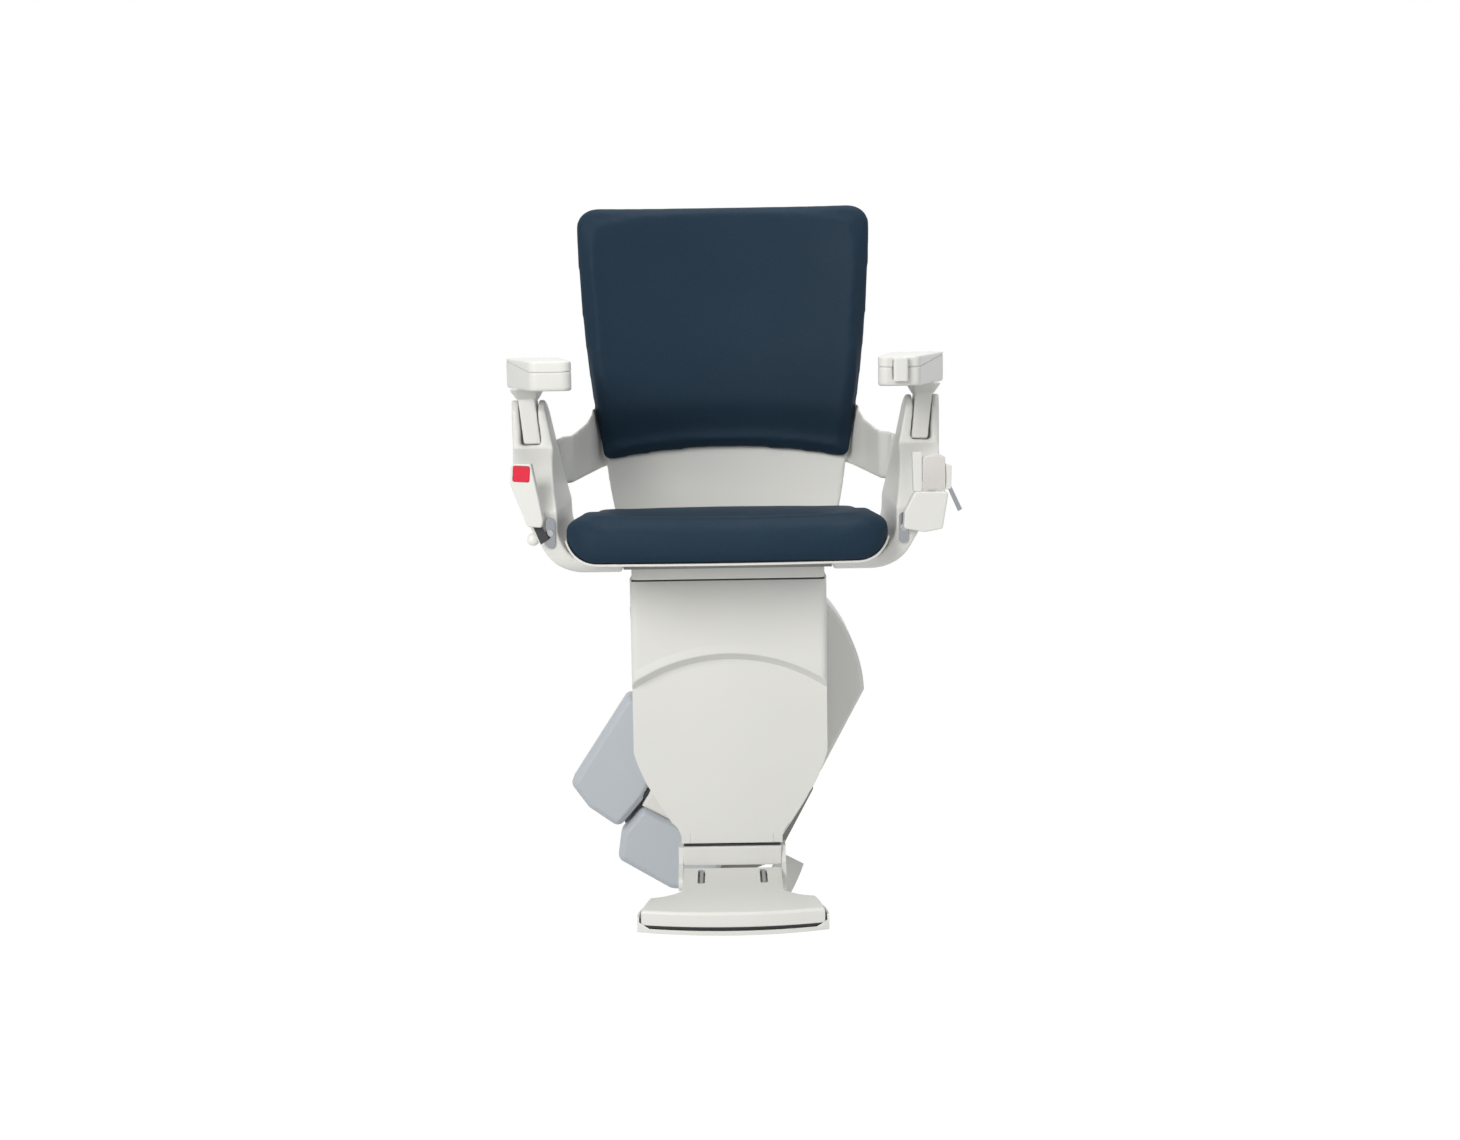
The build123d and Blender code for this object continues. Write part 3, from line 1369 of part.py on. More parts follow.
buckle_outline = [(-279, 472), (-259, 470.5), (-256.5, 480), (-271.5, 560), (-299, 560.5), (-302, 534)]
with BuildPart() as buckle:
    with BuildSketch(front_plane(buckle_back)):
        with BuildLine():
            Polyline(buckle_outline, close=True)
        make_face()
        fillet(vertices(), 3)
    extrude(amount=buckle_t)
    fillet(buckle.faces().sort_by(Axis.Y)[0].outer_wire().edges(), 2)
    with BuildSketch(front_plane(buckle_front)):
        with Locations(button_place):
            RectangleRounded(button_size[0] + 2 * seat_gap, button_size[1] + 2 * seat_gap, 2, rotation=button_turn)
    extrude(amount=-button_t - button_travel + 0.6, mode=Mode.SUBTRACT)
    with BuildSketch(front_plane(buckle_back - 7.7)):
        with BuildLine():
            Polyline((-262, 460), (-274.5, 460), (-277, 483), (-265, 483), close=True)
        make_face()
    extrude(amount=3.6, mode=Mode.SUBTRACT)
write(buckle.part, "buckle_body")

with BuildPart() as button:
    with BuildSketch(front_plane(buckle_front + button_t - 0.6)):
        with Locations(button_place):
            RectangleRounded(button_size[0], button_size[1], 2, rotation=button_turn)
    extrude(amount=button_t)
write(button.part, "buckle_button")

retractor_back = anchor_y - 7
retractor_t = 22.0
retractor_top = 513.0
retractor_outline = [(246.5, 462), (276, 456.5), (301, 461), (309.5, retractor_top), (262, retractor_top), (248, 485)]
with BuildPart() as retractor:
    with BuildSketch(front_plane(retractor_back)):
        with BuildLine():
            Polyline(retractor_outline, close=True)
        make_face()
        fillet(vertices(), 4)
    extrude(amount=retractor_t)
    fillet(retractor.faces().sort_by(Axis.Y)[0].outer_wire().edges(), 2)
    with BuildSketch(front_plane(anchor_y)):
        with BuildLine():
            Polyline((262, 463), (296, 464), (300, 492), (264, 492), close=True)
        make_face()
    extrude(amount=anchor_y - retractor_back + 1)
write(retractor.part, "retractor_housing")

belt_y = anchor_y - 14
loop_x = 289.5
loop_width, loop_depth = 33.0, 12.0
with BuildPart() as belt_guide:
    with BuildSketch(front_plane(belt_y + loop_depth / 2 + 2)):
        with BuildLine():
            Polyline((261, retractor_top), (loop_x - loop_width / 2, retractor_top), (loop_x - loop_width / 2, 568),
                     (259.5, 568), close=True)
        make_face()
    extrude(amount=loop_depth + 4)
write(belt_guide.part, "belt_guide")

webbing_t = 1.8
with BuildPart() as webbing:
    with BuildSketch(top_plane(530)):
        with Locations((loop_x, belt_y)):
            SlotOverall(loop_width, loop_depth)
            SlotOverall(loop_width - 2 * webbing_t, loop_depth - 2 * webbing_t, mode=Mode.SUBTRACT)
    extrude(amount=36)
    with BuildSketch(top_plane(retractor_top)):
        with Locations((300, belt_y - loop_depth / 2 + webbing_t / 2)):
            Rectangle(12, webbing_t)
    extrude(amount=17.5)
write(webbing.part, "belt_webbing")

tongue_outline = [(308, 520), (313.5, 522), (330, 487), (324, 484)]
with BuildPart() as grip:
    with BuildSketch(front_plane(belt_y + 6)):
        with BuildLine():
            Polyline((306, 515), (314, 516), (314.5, 549), (306, 551), close=True)
        make_face()
        fillet(vertices(), 2)
    extrude(amount=12)
    with BuildSketch(front_plane(belt_y + 2)):
        with BuildLine():
            Polyline(tongue_outline, close=True)
        make_face()
    extrude(amount=2.5, mode=Mode.SUBTRACT)
write(grip.part, "tongue_grip")

with BuildPart() as tongue:
    with BuildSketch(front_plane(belt_y + 2)):
        with BuildLine():
            Polyline(tongue_outline, close=True)
        make_face()
    extrude(amount=2.5)
write(tongue.part, "belt_tongue")

# ================================================================ swivel lever
with BuildPart() as lever:
    with BuildSketch(front_plane(lever_y + 4)):
        with Locations((lever_x, lever_z)):
            Circle(5)
        with Locations((lever_x - 10, lever_z)):
            Rectangle(20, 7)
        with Locations((lever_x, lever_z)):
            Circle(lever_pin_r + running_gap, mode=Mode.SUBTRACT)
    extrude(amount=8)
write(lever.part, "swivel_lever")

with BuildPart() as knob:
    with BuildSketch(front_plane(lever_y)):
        with BuildLine():
            foot_r = sqrt(knob_r ** 2 - 64)
            ThreePointArc((lever_x - 20, lever_z - foot_r), (lever_x - 28, lever_z - knob_r),
                          (lever_x - 28 - knob_r, lever_z))
            Polyline((lever_x - 28 - knob_r, lever_z), (lever_x - 20, lever_z), (lever_x - 20, lever_z - foot_r))
        make_face()
    revolve(axis=Axis((lever_x, lever_y, lever_z), (1, 0, 0)))
write(knob.part, "lever_knob")

with BuildPart() as lever_pin:
    with BuildSketch(front_plane(lever_y + 11)):
        with Locations((lever_x, lever_z)):
            Circle(lever_pin_r)
    extrude(amount=22)
write(lever_pin.part, "lever_pin")
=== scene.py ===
import json
import math

import bmesh
import bpy
import numpy as np
from mathutils import Matrix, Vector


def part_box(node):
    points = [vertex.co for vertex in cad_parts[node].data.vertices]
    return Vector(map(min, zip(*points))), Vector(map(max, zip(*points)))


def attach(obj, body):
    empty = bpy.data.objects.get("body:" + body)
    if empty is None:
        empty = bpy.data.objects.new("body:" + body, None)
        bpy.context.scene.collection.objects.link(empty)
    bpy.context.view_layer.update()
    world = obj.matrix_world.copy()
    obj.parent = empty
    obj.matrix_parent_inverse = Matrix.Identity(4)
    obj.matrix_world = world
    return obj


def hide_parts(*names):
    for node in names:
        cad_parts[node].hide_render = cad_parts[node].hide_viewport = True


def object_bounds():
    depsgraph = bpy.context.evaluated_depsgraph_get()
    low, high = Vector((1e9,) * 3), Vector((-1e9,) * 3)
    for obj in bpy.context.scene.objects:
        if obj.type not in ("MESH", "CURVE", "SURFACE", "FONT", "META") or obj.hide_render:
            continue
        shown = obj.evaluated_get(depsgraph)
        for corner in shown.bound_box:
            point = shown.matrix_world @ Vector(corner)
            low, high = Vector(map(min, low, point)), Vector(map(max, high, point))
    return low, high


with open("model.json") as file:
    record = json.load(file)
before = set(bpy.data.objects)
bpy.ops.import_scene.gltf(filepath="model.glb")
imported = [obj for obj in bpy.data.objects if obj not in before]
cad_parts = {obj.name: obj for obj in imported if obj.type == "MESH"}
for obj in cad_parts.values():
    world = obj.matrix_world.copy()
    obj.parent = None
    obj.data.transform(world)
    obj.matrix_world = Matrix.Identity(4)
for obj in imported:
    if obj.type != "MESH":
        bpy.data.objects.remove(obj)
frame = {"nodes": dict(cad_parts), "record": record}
cadLow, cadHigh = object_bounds()
nodes = frame["nodes"]
bodyOf = {node: body for body, members in frame["record"]["behaviour"]["bodies"].items() for node in members}
slotOf = {entry["node"]: entry["material_slot"] for entry in frame["record"]["subparts"]}
mm = 0.001
print("frame loaded,", len(nodes), "nodes")


def linearColour(hexText):
    # sRGB hex to linear light: c / 12.92 near black, otherwise ((c + 0.055) / 1.055) to the power 2.4
    channels = [int(hexText[k:k + 2], 16) / 255 for k in (0, 2, 4)]
    return [c / 12.92 if c <= 0.04045 else ((c + 0.055) / 1.055) ** 2.4 for c in channels] + [1.0]


def addNode(tree, kind, settings=None, links=None):
    # one shader node, its sockets or attributes set by name, and its inputs linked
    node = tree.nodes.new(kind)
    for key, value in (settings or {}).items():
        if isinstance(key, int) or key in node.inputs:
            node.inputs[key].default_value = value
        else:
            setattr(node, key, value)
    for key, source in (links or {}).items():
        tree.links.new(source, node.inputs[key])
    return node


def placed(name, data):
    # a new object at the origin, in the scene's collection
    piece = bpy.data.objects.new(name, data)
    bpy.context.scene.collection.objects.link(piece)
    return piece


def newMaterial(name, settings):
    # a material with its Principled shader, whose plain sockets are set here
    material = bpy.data.materials.new(name)
    material.use_nodes = True
    shader = material.node_tree.nodes["Principled BSDF"]
    for key, value in settings.items():
        shader.inputs[key].default_value = value
    return material, material.node_tree, shader


# Moulded ABS: an even satin skin with a fine spark-eroded grain and a faint drift in colour.
def mouldedAbs(name, finish):
    material, tree, shader = newMaterial(name, {"Specular IOR Level": 0.5, "IOR": 1.5})
    place = addNode(tree, "ShaderNodeTexCoord")
    drift = addNode(tree, "ShaderNodeTexNoise", {"Scale": 1 / (finish["driftMm"] * mm), "Detail": 1.0},
                    {"Vector": place.outputs["Object"]})
    tint = addNode(tree, "ShaderNodeMix", {"data_type": "RGBA", 6: linearColour(finish["colour"]),
                                           7: linearColour(finish["shade"])}, {0: drift.outputs["Fac"]})
    tree.links.new(tint.outputs[2], shader.inputs["Base Color"])
    grain = addNode(tree, "ShaderNodeTexNoise", {"Scale": 1 / (finish["grainMm"] * mm), "Detail": 2.0},
                    {"Vector": place.outputs["Object"]})
    gloss = addNode(tree, "ShaderNodeMapRange", {"To Min": finish["roughness"] - 0.05,
                                                 "To Max": finish["roughness"] + 0.05},
                    {"Value": grain.outputs["Fac"]})
    tree.links.new(gloss.outputs["Result"], shader.inputs["Roughness"])
    bump = addNode(tree, "ShaderNodeBump", {"Strength": finish["bump"], "Distance": 0.05 * mm},
                   {"Height": grain.outputs["Fac"]})
    tree.links.new(bump.outputs["Normal"], shader.inputs["Normal"])
    return material


# Contract upholstery vinyl: embossed leather grain, drawn 1.6 mm across so that it shows, with a soft broad gloss.
def upholsteryVinyl(name, finish):
    material, tree, shader = newMaterial(name, {"Specular IOR Level": 0.12, "IOR": 1.45})
    place = addNode(tree, "ShaderNodeTexCoord")
    drift = addNode(tree, "ShaderNodeTexNoise", {"Scale": 1 / (finish["driftMm"] * mm), "Detail": 3.0},
                    {"Vector": place.outputs["Object"]})
    tint = addNode(tree, "ShaderNodeMix", {"data_type": "RGBA", 6: linearColour(finish["colour"]),
                                           7: linearColour(finish["shade"])}, {0: drift.outputs["Fac"]})
    pebble = addNode(tree, "ShaderNodeTexVoronoi", {"feature": "SMOOTH_F1", "Scale": 1 / (finish["pebbleMm"] * mm),
                                                    "Smoothness": 0.6}, {"Vector": place.outputs["Object"]})
    # painted shade in the grain's creases: towards the cell edges the colour goes up to a quarter of the way to the
    # darker crease colour
    creaseShade = addNode(tree, "ShaderNodeMapRange", {"From Min": 0.35, "From Max": 0.75, "To Min": 0.0, "To Max": 0.25},
                     {"Value": pebble.outputs["Distance"]})
    grainWithCreaseShade = addNode(tree, "ShaderNodeMix", {"data_type": "RGBA", 7: linearColour(finish["creaseShade"])},
                   {0: creaseShade.outputs["Result"], 6: tint.outputs[2]})
    tree.links.new(grainWithCreaseShade.outputs[2], shader.inputs["Base Color"])
    gloss = addNode(tree, "ShaderNodeMapRange", {"To Min": finish["roughness"] - 0.06,
                                                 "To Max": finish["roughness"] + 0.08},
                    {"Value": drift.outputs["Fac"]})
    tree.links.new(gloss.outputs["Result"], shader.inputs["Roughness"])
    bump = addNode(tree, "ShaderNodeBump", {"Strength": finish["bump"], "Distance": 0.15 * mm, "invert": True},
                   {"Height": pebble.outputs["Distance"]})
    tree.links.new(bump.outputs["Normal"], shader.inputs["Normal"])
    return material


# Woven polyester belt webbing: twill ribs, drawn 1.6 mm apart so that they show, dull and slightly uneven.
def beltWebbing(name, finish):
    material, tree, shader = newMaterial(name, {"Specular IOR Level": 0.3, "Sheen Weight": 0.25})
    place = addNode(tree, "ShaderNodeTexCoord")
    ribs = addNode(tree, "ShaderNodeTexWave", {"wave_type": "BANDS", "bands_direction": "DIAGONAL",
                                               "Scale": 0.31 / (finish["ribMm"] * mm), "Distortion": 0.6},
                   {"Vector": place.outputs["Object"]})
    # painted shade in the rib grooves: the low parts of the ribs' bump take the darker shade colour
    tint = addNode(tree, "ShaderNodeMix", {"data_type": "RGBA", 6: linearColour(finish["shade"]),
                                           7: linearColour(finish["colour"])}, {0: ribs.outputs["Fac"]})
    tree.links.new(tint.outputs[2], shader.inputs["Base Color"])
    shader.inputs["Roughness"].default_value = finish["roughness"]
    bump = addNode(tree, "ShaderNodeBump", {"Strength": finish["bump"], "Distance": 0.2 * mm},
                   {"Height": ribs.outputs["Fac"]})
    tree.links.new(bump.outputs["Normal"], shader.inputs["Normal"])
    return material


# Machined or plated metal: fine turning lines along one axis give a streaked reflection.
def workedMetal(name, finish):
    material, tree, shader = newMaterial(name, {"Metallic": finish["metallic"],
                                                "Base Color": linearColour(finish["colour"])})
    place = addNode(tree, "ShaderNodeTexCoord")
    stretch = addNode(tree, "ShaderNodeMapping", {"Scale": finish["stretch"]}, {"Vector": place.outputs["Object"]})
    streak = addNode(tree, "ShaderNodeTexNoise", {"Scale": 1 / (finish["lineMm"] * mm), "Detail": 3.0},
                     {"Vector": stretch.outputs["Vector"]})
    gloss = addNode(tree, "ShaderNodeMapRange", {"To Min": finish["roughness"] * 0.8,
                                                 "To Max": finish["roughness"] * 1.25},
                    {"Value": streak.outputs["Fac"]})
    tree.links.new(gloss.outputs["Result"], shader.inputs["Roughness"])
    bump = addNode(tree, "ShaderNodeBump", {"Strength": finish["bump"], "Distance": 0.02 * mm},
                   {"Height": streak.outputs["Fac"]})
    tree.links.new(bump.outputs["Normal"], shader.inputs["Normal"])
    return material


absFinishes = {
    "beige_moulding": {"colour": "e1e1dd", "shade": "dadad5", "driftMm": 180, "grainMm": 0.9, "roughness": 0.42,
                       "bump": 0.25},
    "light_moulding": {"colour": "e4e4e0", "shade": "deded9", "driftMm": 140, "grainMm": 0.9, "roughness": 0.4,
                       "bump": 0.25},
    "grey_cover": {"colour": "bdc3c9", "shade": "b5bbc2", "driftMm": 160, "grainMm": 1.0, "roughness": 0.36,
                   "bump": 0.25},
    "white_plastic": {"colour": "efeeea", "shade": "e9e8e3", "driftMm": 50, "grainMm": 0.8, "roughness": 0.3,
                      "bump": 0.15},
    "black_plastic": {"colour": "1f2022", "shade": "26272a", "driftMm": 60, "grainMm": 0.8, "roughness": 0.5,
                      "bump": 0.3},
    "red_button": {"colour": "e01b3c", "shade": "d61636", "driftMm": 20, "grainMm": 0.7, "roughness": 0.32,
                   "bump": 0.15},
    "slide_plastic": {"colour": "dedbd0", "shade": "d6d2c6", "driftMm": 30, "grainMm": 0.7, "roughness": 0.45,
                      "bump": 0.2}}
metalFinishes = {
    "chrome": {"colour": "9ea1a5", "metallic": 1.0, "roughness": 0.14, "lineMm": 1.2, "bump": 0.05,
               "stretch": (1, 1, 0.1)},
    "steel": {"colour": "b4b6b9", "metallic": 1.0, "roughness": 0.3, "lineMm": 0.8, "bump": 0.3,
              "stretch": (1, 0.06, 1)},
    "painted_frame": {"colour": "8d8c88", "metallic": 0.0, "roughness": 0.5, "lineMm": 1.5, "bump": 0.5,
                      "stretch": (1, 1, 1)},
    "black_metal": {"colour": "2c2d30", "metallic": 0.0, "roughness": 0.45, "lineMm": 1.5, "bump": 0.5,
                    "stretch": (1, 1, 1)}}
materials = {slot: mouldedAbs("abs_" + slot, finish) for slot, finish in absFinishes.items()}
materials.update({slot: workedMetal("metal_" + slot, finish) for slot, finish in metalFinishes.items()})
# the crease colour is painted shade for the creases of the grain
materials["navy_upholstery"] = upholsteryVinyl("vinyl_upholstery", {
    "colour": "203343", "shade": "1c2e3d", "creaseShade": "13222f", "driftMm": 120, "pebbleMm": 1.6, "roughness": 0.55,
    "bump": 0.35})
materials["belt_web"] = beltWebbing("polyester_webbing", {
    "colour": "dddbd8", "shade": "cac6c2", "ribMm": 1.6, "roughness": 0.75, "bump": 0.6})
print("materials made:", len(materials))


def coatNode(node):
    # the node keeps its CAD mesh and takes the finish of its slot
    piece = nodes[node]
    for materialSlot in piece.material_slots:
        materialSlot.link = "OBJECT"
        materialSlot.material = materials[slotOf[node]]


for node in nodes:
    coatNode(node)


# Moulded, cast and folded parts: radius of the rounded edges in mm.
edgeRounds = {
    "column_cover": 2.5, "column_back_cover": 0.8, "hinge_bar": 1.2, "footplate": 1.5, "safety_pan": 1.0,
    "swivel_housing": 1.0, "seat_pan": 0.8, "buckle_button": 0.6, "belt_anchors": 0.8, "anchor_bolts": 0.5,
    "belt_tongue": 0.4, "carriage_housing": 1.5, "housing_back_cover": 0.8, "end_guide_cover": 0.8,
    "chassis_plate": 0.8, "seat_base": 0.8, "swivel_lever": 0.4, "battery_pack": 1.5, "drive_gearbox": 1.5}


def roundedCopy(node, radius):
    # the node's own surface with its triangles merged into flats and every edge over 32 degrees rounded
    mesh = nodes[node].data.copy()
    work = bmesh.new()
    work.from_mesh(mesh)
    bmesh.ops.remove_doubles(work, verts=work.verts, dist=0.004 * mm)
    bmesh.ops.dissolve_limit(work, angle_limit=math.radians(0.4), verts=work.verts, edges=work.edges)
    work.to_mesh(mesh)
    work.free()
    mesh.materials.clear()
    mesh.materials.append(materials[slotOf[node]])
    mesh.polygons.foreach_set("use_smooth", np.ones(len(mesh.polygons), bool))
    piece = placed(node + "_moulded", mesh)
    bevel = piece.modifiers.new("edgeRound", "BEVEL")
    bevel.width = radius * mm
    bevel.segments = 3
    bevel.limit_method = "ANGLE"
    bevel.angle_limit = math.radians(32)
    even = piece.modifiers.new("evenShading", "WEIGHTED_NORMAL")
    even.mode = "FACE_AREA"
    even.keep_sharp = False
    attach(piece, bodyOf[node])
    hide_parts(node)
    return piece


for node, radius in edgeRounds.items():
    roundedCopy(node, radius)
print("edges rounded on", len(edgeRounds), "nodes")


def meshPoints(mesh):
    # the vertices as rows of x, y and z in mm
    points = np.empty(len(mesh.vertices) * 3)
    mesh.vertices.foreach_get("co", points)
    return points.reshape(-1, 3) / mm


def evenMesh(mesh, voxelMm, rounds):
    # the same form on an even mesh of voxelMm squares: voxels, back onto the form's nearest points, then some rounds of
    # averaging
    form, worker = placed("meshForm", mesh), placed("meshWorker", mesh.copy())
    remesh = worker.modifiers.new("evenMesh", "REMESH")
    remesh.mode = "VOXEL"
    remesh.voxel_size = voxelMm * mm
    snap = worker.modifiers.new("snap", "SHRINKWRAP")
    snap.wrap_method = "NEAREST_SURFACEPOINT"
    snap.target = form
    relax = worker.modifiers.new("relax", "SMOOTH")
    relax.factor = 0.5
    relax.iterations = rounds
    even = bpy.data.meshes.new_from_object(worker.evaluated_get(bpy.context.evaluated_depsgraph_get()))
    for helper in (form, worker):
        bpy.data.objects.remove(helper)
    even.polygons.foreach_set("use_smooth", np.ones(len(even.polygons), bool))
    return even


def smoothStep(value, low, high):
    # 0 below low, 1 above high, and t * t * (3 - 2 * t) between them
    share = np.clip((value - low) / (high - low), 0, 1)
    return share * share * (3 - 2 * share)


wings = {"reach": 13.0, "ahead": (94.0, 114.0), "outside": (225.0, 240.0), "above": (470.0, 500.0),
         "below": (585.0, 610.0)}
paddle = {"centre": (243.5, 0.0, 682.5), "ahead": (362.0, 364.0), "growth": (0.45, 0.0, 0.2)}


def reachingWings(points):
    # the wings' ends move out behind the arm frames: x grows by reach times four smooth steps, one for each side
    share = smoothStep(-points[:, 1], *wings["ahead"]) * smoothStep(np.abs(points[:, 0]), *wings["outside"])
    share = share * smoothStep(points[:, 2], *wings["above"]) * (1 - smoothStep(points[:, 2], *wings["below"]))
    return points + np.stack([np.sign(points[:, 0]) * wings["reach"] * share, 0 * share, 0 * share], 1)


def flaredPaddle(points):
    # the toggle's front spreads to a paddle: x and z move from its centre by growth times their distance to it
    share = smoothStep(-points[:, 1], *paddle["ahead"])[:, None] * np.array(paddle["growth"])
    return points + (points - np.array(paddle["centre"])) * share


# Solid mouldings with soft edges: voxel in mm, rounds of relaxing, and a change of form where one is needed.
softEdges = {
    "arm_frame_left": (2.2, 12, None), "arm_frame_right": (2.2, 12, None), "back_shell": (2.5, 10, reachingWings),
    "armrest_body_left": (1.6, 7, None), "armrest_body_right": (1.6, 7, None), "armrest_cap_left": (1.2, 4, None),
    "armrest_cap_right": (1.2, 4, None), "armrest_toggle": (0.8, 6, flaredPaddle), "buckle_body": (0.9, 7, None),
    "retractor_housing": (1.0, 5, None), "belt_guide": (1.0, 8, None), "tongue_grip": (0.7, 6, None),
    "upper_guide_cover": (1.4, 16, None), "lower_guide_cover": (1.4, 16, None)}


def softCopy(node, voxelMm, rounds, reshape):
    # each edge of the node turns over a radius of about voxelMm * sqrt(rounds)
    source = nodes[node].data.copy()
    work = bmesh.new()
    work.from_mesh(source)
    bmesh.ops.remove_doubles(work, verts=work.verts, dist=0.004 * mm)
    if reshape:
        bmesh.ops.subdivide_edges(work, edges=work.edges, cuts=3, use_grid_fill=True)
    work.to_mesh(source)
    work.free()
    if reshape:
        source.vertices.foreach_set("co", (reshape(meshPoints(source)) * mm).ravel())
    source.materials.clear()
    source.materials.append(materials[slotOf[node]])
    piece = placed(node + "_soft", evenMesh(source, voxelMm, rounds))
    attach(piece, bodyOf[node])
    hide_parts(node)
    return piece


for node, (voxelMm, rounds, reshape) in softEdges.items():
    piece = softCopy(node, voxelMm, rounds, reshape)
    print(piece.name, len(piece.data.polygons), "faces")


def roundedLoop(cornerRadii, arcSteps, edgeSteps):
    # a loop round the square from -1 to 1: a quarter circle at each corner, straight runs between them
    places = ((1, -1, -90), (1, 1, 0), (-1, 1, 90), (-1, -1, 180))
    arcs = []
    for (sideX, sideY, start), radius in zip(places, cornerRadii):
        angle = np.radians(start + np.linspace(0, 90, arcSteps))
        arcs.append(np.stack([sideX * (1 - radius) + radius * np.cos(angle),
                              sideY * (1 - radius) + radius * np.sin(angle)], 1))
    share = np.linspace(0, 1, edgeSteps + 1)[1:-1, None]
    runs = []
    for arc, following in zip(arcs, arcs[1:] + arcs[:1]):
        runs += [arc, arc[-1] * (1 - share) + following[0] * share]
    return np.concatenate(runs)


def closedSkin(name, rings, slot):
    # rings[k, j] is a point on ring k, from the first pole's ring to the last one's: quads join them, fans close them
    count, steps = rings.shape[:2]
    poles = np.stack([rings[0].mean(0), rings[-1].mean(0)])
    points = np.concatenate([rings.reshape(-1, 3), poles])
    k, j = np.meshgrid(np.arange(count - 1), np.arange(steps), indexing="ij")
    after = (j + 1) % steps
    quads = np.stack([k * steps + j, (k + 1) * steps + j, (k + 1) * steps + after, k * steps + after], -1)
    j = np.arange(steps)
    after = (j + 1) % steps
    first = np.stack([j, after, np.full(steps, count * steps)], -1)
    last = np.stack([after + (count - 1) * steps, j + (count - 1) * steps, np.full(steps, count * steps + 1)], -1)
    mesh = bpy.data.meshes.new(name)
    mesh.from_pydata(points.tolist(), [], quads.reshape(-1, 4).tolist() + first.tolist() + last.tolist())
    mesh.materials.append(materials[slot])
    return mesh


def settled(mesh, hold, swell):
    # the cover settles over its foam: the skin gets an even voxel mesh, air pressure swells it with gravity off, and
    # each point keeps move * hold * min(1, cap / length of the move), so that the face on its carrier stays
    even = evenMesh(mesh, swell["voxelMm"], 4)
    start = meshPoints(even) * mm
    worker = placed("padWorker", even)
    cover = worker.modifiers.new("cover", "CLOTH")
    cover.settings.quality = 5
    cover.settings.mass = 0.3
    cover.settings.use_pressure = True
    cover.settings.uniform_pressure_force = swell["pressure"]
    cover.settings.effector_weights.gravity = 0
    cover.collision_settings.use_collision = False
    cover.point_cache.frame_start = 1
    cover.point_cache.frame_end = swell["frames"]
    for count in range(1, swell["frames"] + 1):
        bpy.context.scene.frame_set(count)
    moved = np.empty(len(start) * 3)
    worker.evaluated_get(bpy.context.evaluated_depsgraph_get()).data.vertices.foreach_get("co", moved)
    move = moved.reshape(-1, 3) - start
    length = np.linalg.norm(move, axis=1, keepdims=True)
    move = move * np.minimum(1, swell["capMm"] * mm / np.maximum(length, 1e-9)) * hold(start / mm)[:, None]
    even.vertices.foreach_set("co", (start + move).ravel())
    print("cover settled, largest move", round(float(np.linalg.norm(move, axis=1).max()) / mm, 2), "mm")
    bpy.context.scene.frame_set(1)
    bpy.data.objects.remove(worker)
    return even


def upholstered(name, mesh, body, node):
    # the settled cover as a visible piece: smooth, relaxed and once subdivided
    mesh.polygons.foreach_set("use_smooth", np.ones(len(mesh.polygons), bool))
    piece = placed(name, mesh)
    relax = piece.modifiers.new("relax", "SMOOTH")
    relax.factor = 0.5
    relax.iterations = 6
    fine = piece.modifiers.new("fine", "SUBSURF")
    fine.levels = fine.render_levels = 1
    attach(piece, body)
    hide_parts(node)
    return piece


def padRings(loop, topRound, lowRound, top, low, place):
    # rings from the crown's centre out to the rim, down the side and in under the pad.
    # topRound and lowRound give each direction's edge radius, held to what the pad's thickness there allows, top and
    # low the two faces' heights, and place turns loop coordinates into plan millimetres
    edge = place(loop)
    thick = top(edge) - low(edge)
    lowRound = np.minimum(lowRound, 0.75 * thick)
    topRound = np.minimum(topRound, 0.97 * thick - lowRound)
    reach = np.hypot(*(edge - edge.mean(0)).T)
    inner = np.linspace(0.04, 1, 26)[:, None] * (1 - topRound / reach)
    turn = np.radians(np.linspace(90, 0, 10))[1:, None]
    rollIn = 1 - topRound * (1 - np.cos(turn)) / reach
    turnLow = np.radians(np.linspace(0, 90, 10))[:, None]
    rollLow = 1 - lowRound * (1 - np.cos(turnLow)) / reach
    under = np.linspace(1, 0.04, 10)[1:, None] * (1 - lowRound / reach)
    plan = []
    heights = []
    for scale, kind, angle in ((inner, "crown", None), (rollIn, "roll", turn), (rollLow, "foot", turnLow),
                               (under, "under", None)):
        spot = place(loop[None] * scale[..., None])
        face = top(spot)
        if kind == "roll":
            face = face - topRound * (1 - np.sin(angle))
        if kind == "foot":
            face = low(spot) + lowRound * (1 - np.sin(angle))
        if kind == "under":
            face = low(spot)
        plan.append(spot)
        heights.append(face)
    return np.concatenate(plan), np.concatenate(heights)


# Seat cushion: bowed front roll, raised front corners, and a dish that rises again at the back.
seatCushion = {"cornersFrontBack": (0.2, 0.12), "bow": 12.0, "wider": 2.5, "taper": 14.0, "taperPower": 1.7,
               "crestMiddle": 476.0, "crestSide": 480.5, "rear": 465.0, "rearSide": -2.0, "sideRise": 1.5,
               "sideRiseAt": (196.0, 24.0), "dish": 14.0, "dishSides": (120.0, 190.0), "dishAlong": (0.15, 0.9),
               "behindCrest": (0.12, 0.95), "topRound": (28.0, 16.0, 14.0), "lowRound": (10.0, 44.0, 8.0),
               "freeFrom": (8.0, 45.0), "voxelMm": 5.0, "pressure": 4.0, "frames": 16, "capMm": 5.0}
seatLow, seatHigh = (np.array(corner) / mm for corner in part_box("seat_cushion"))


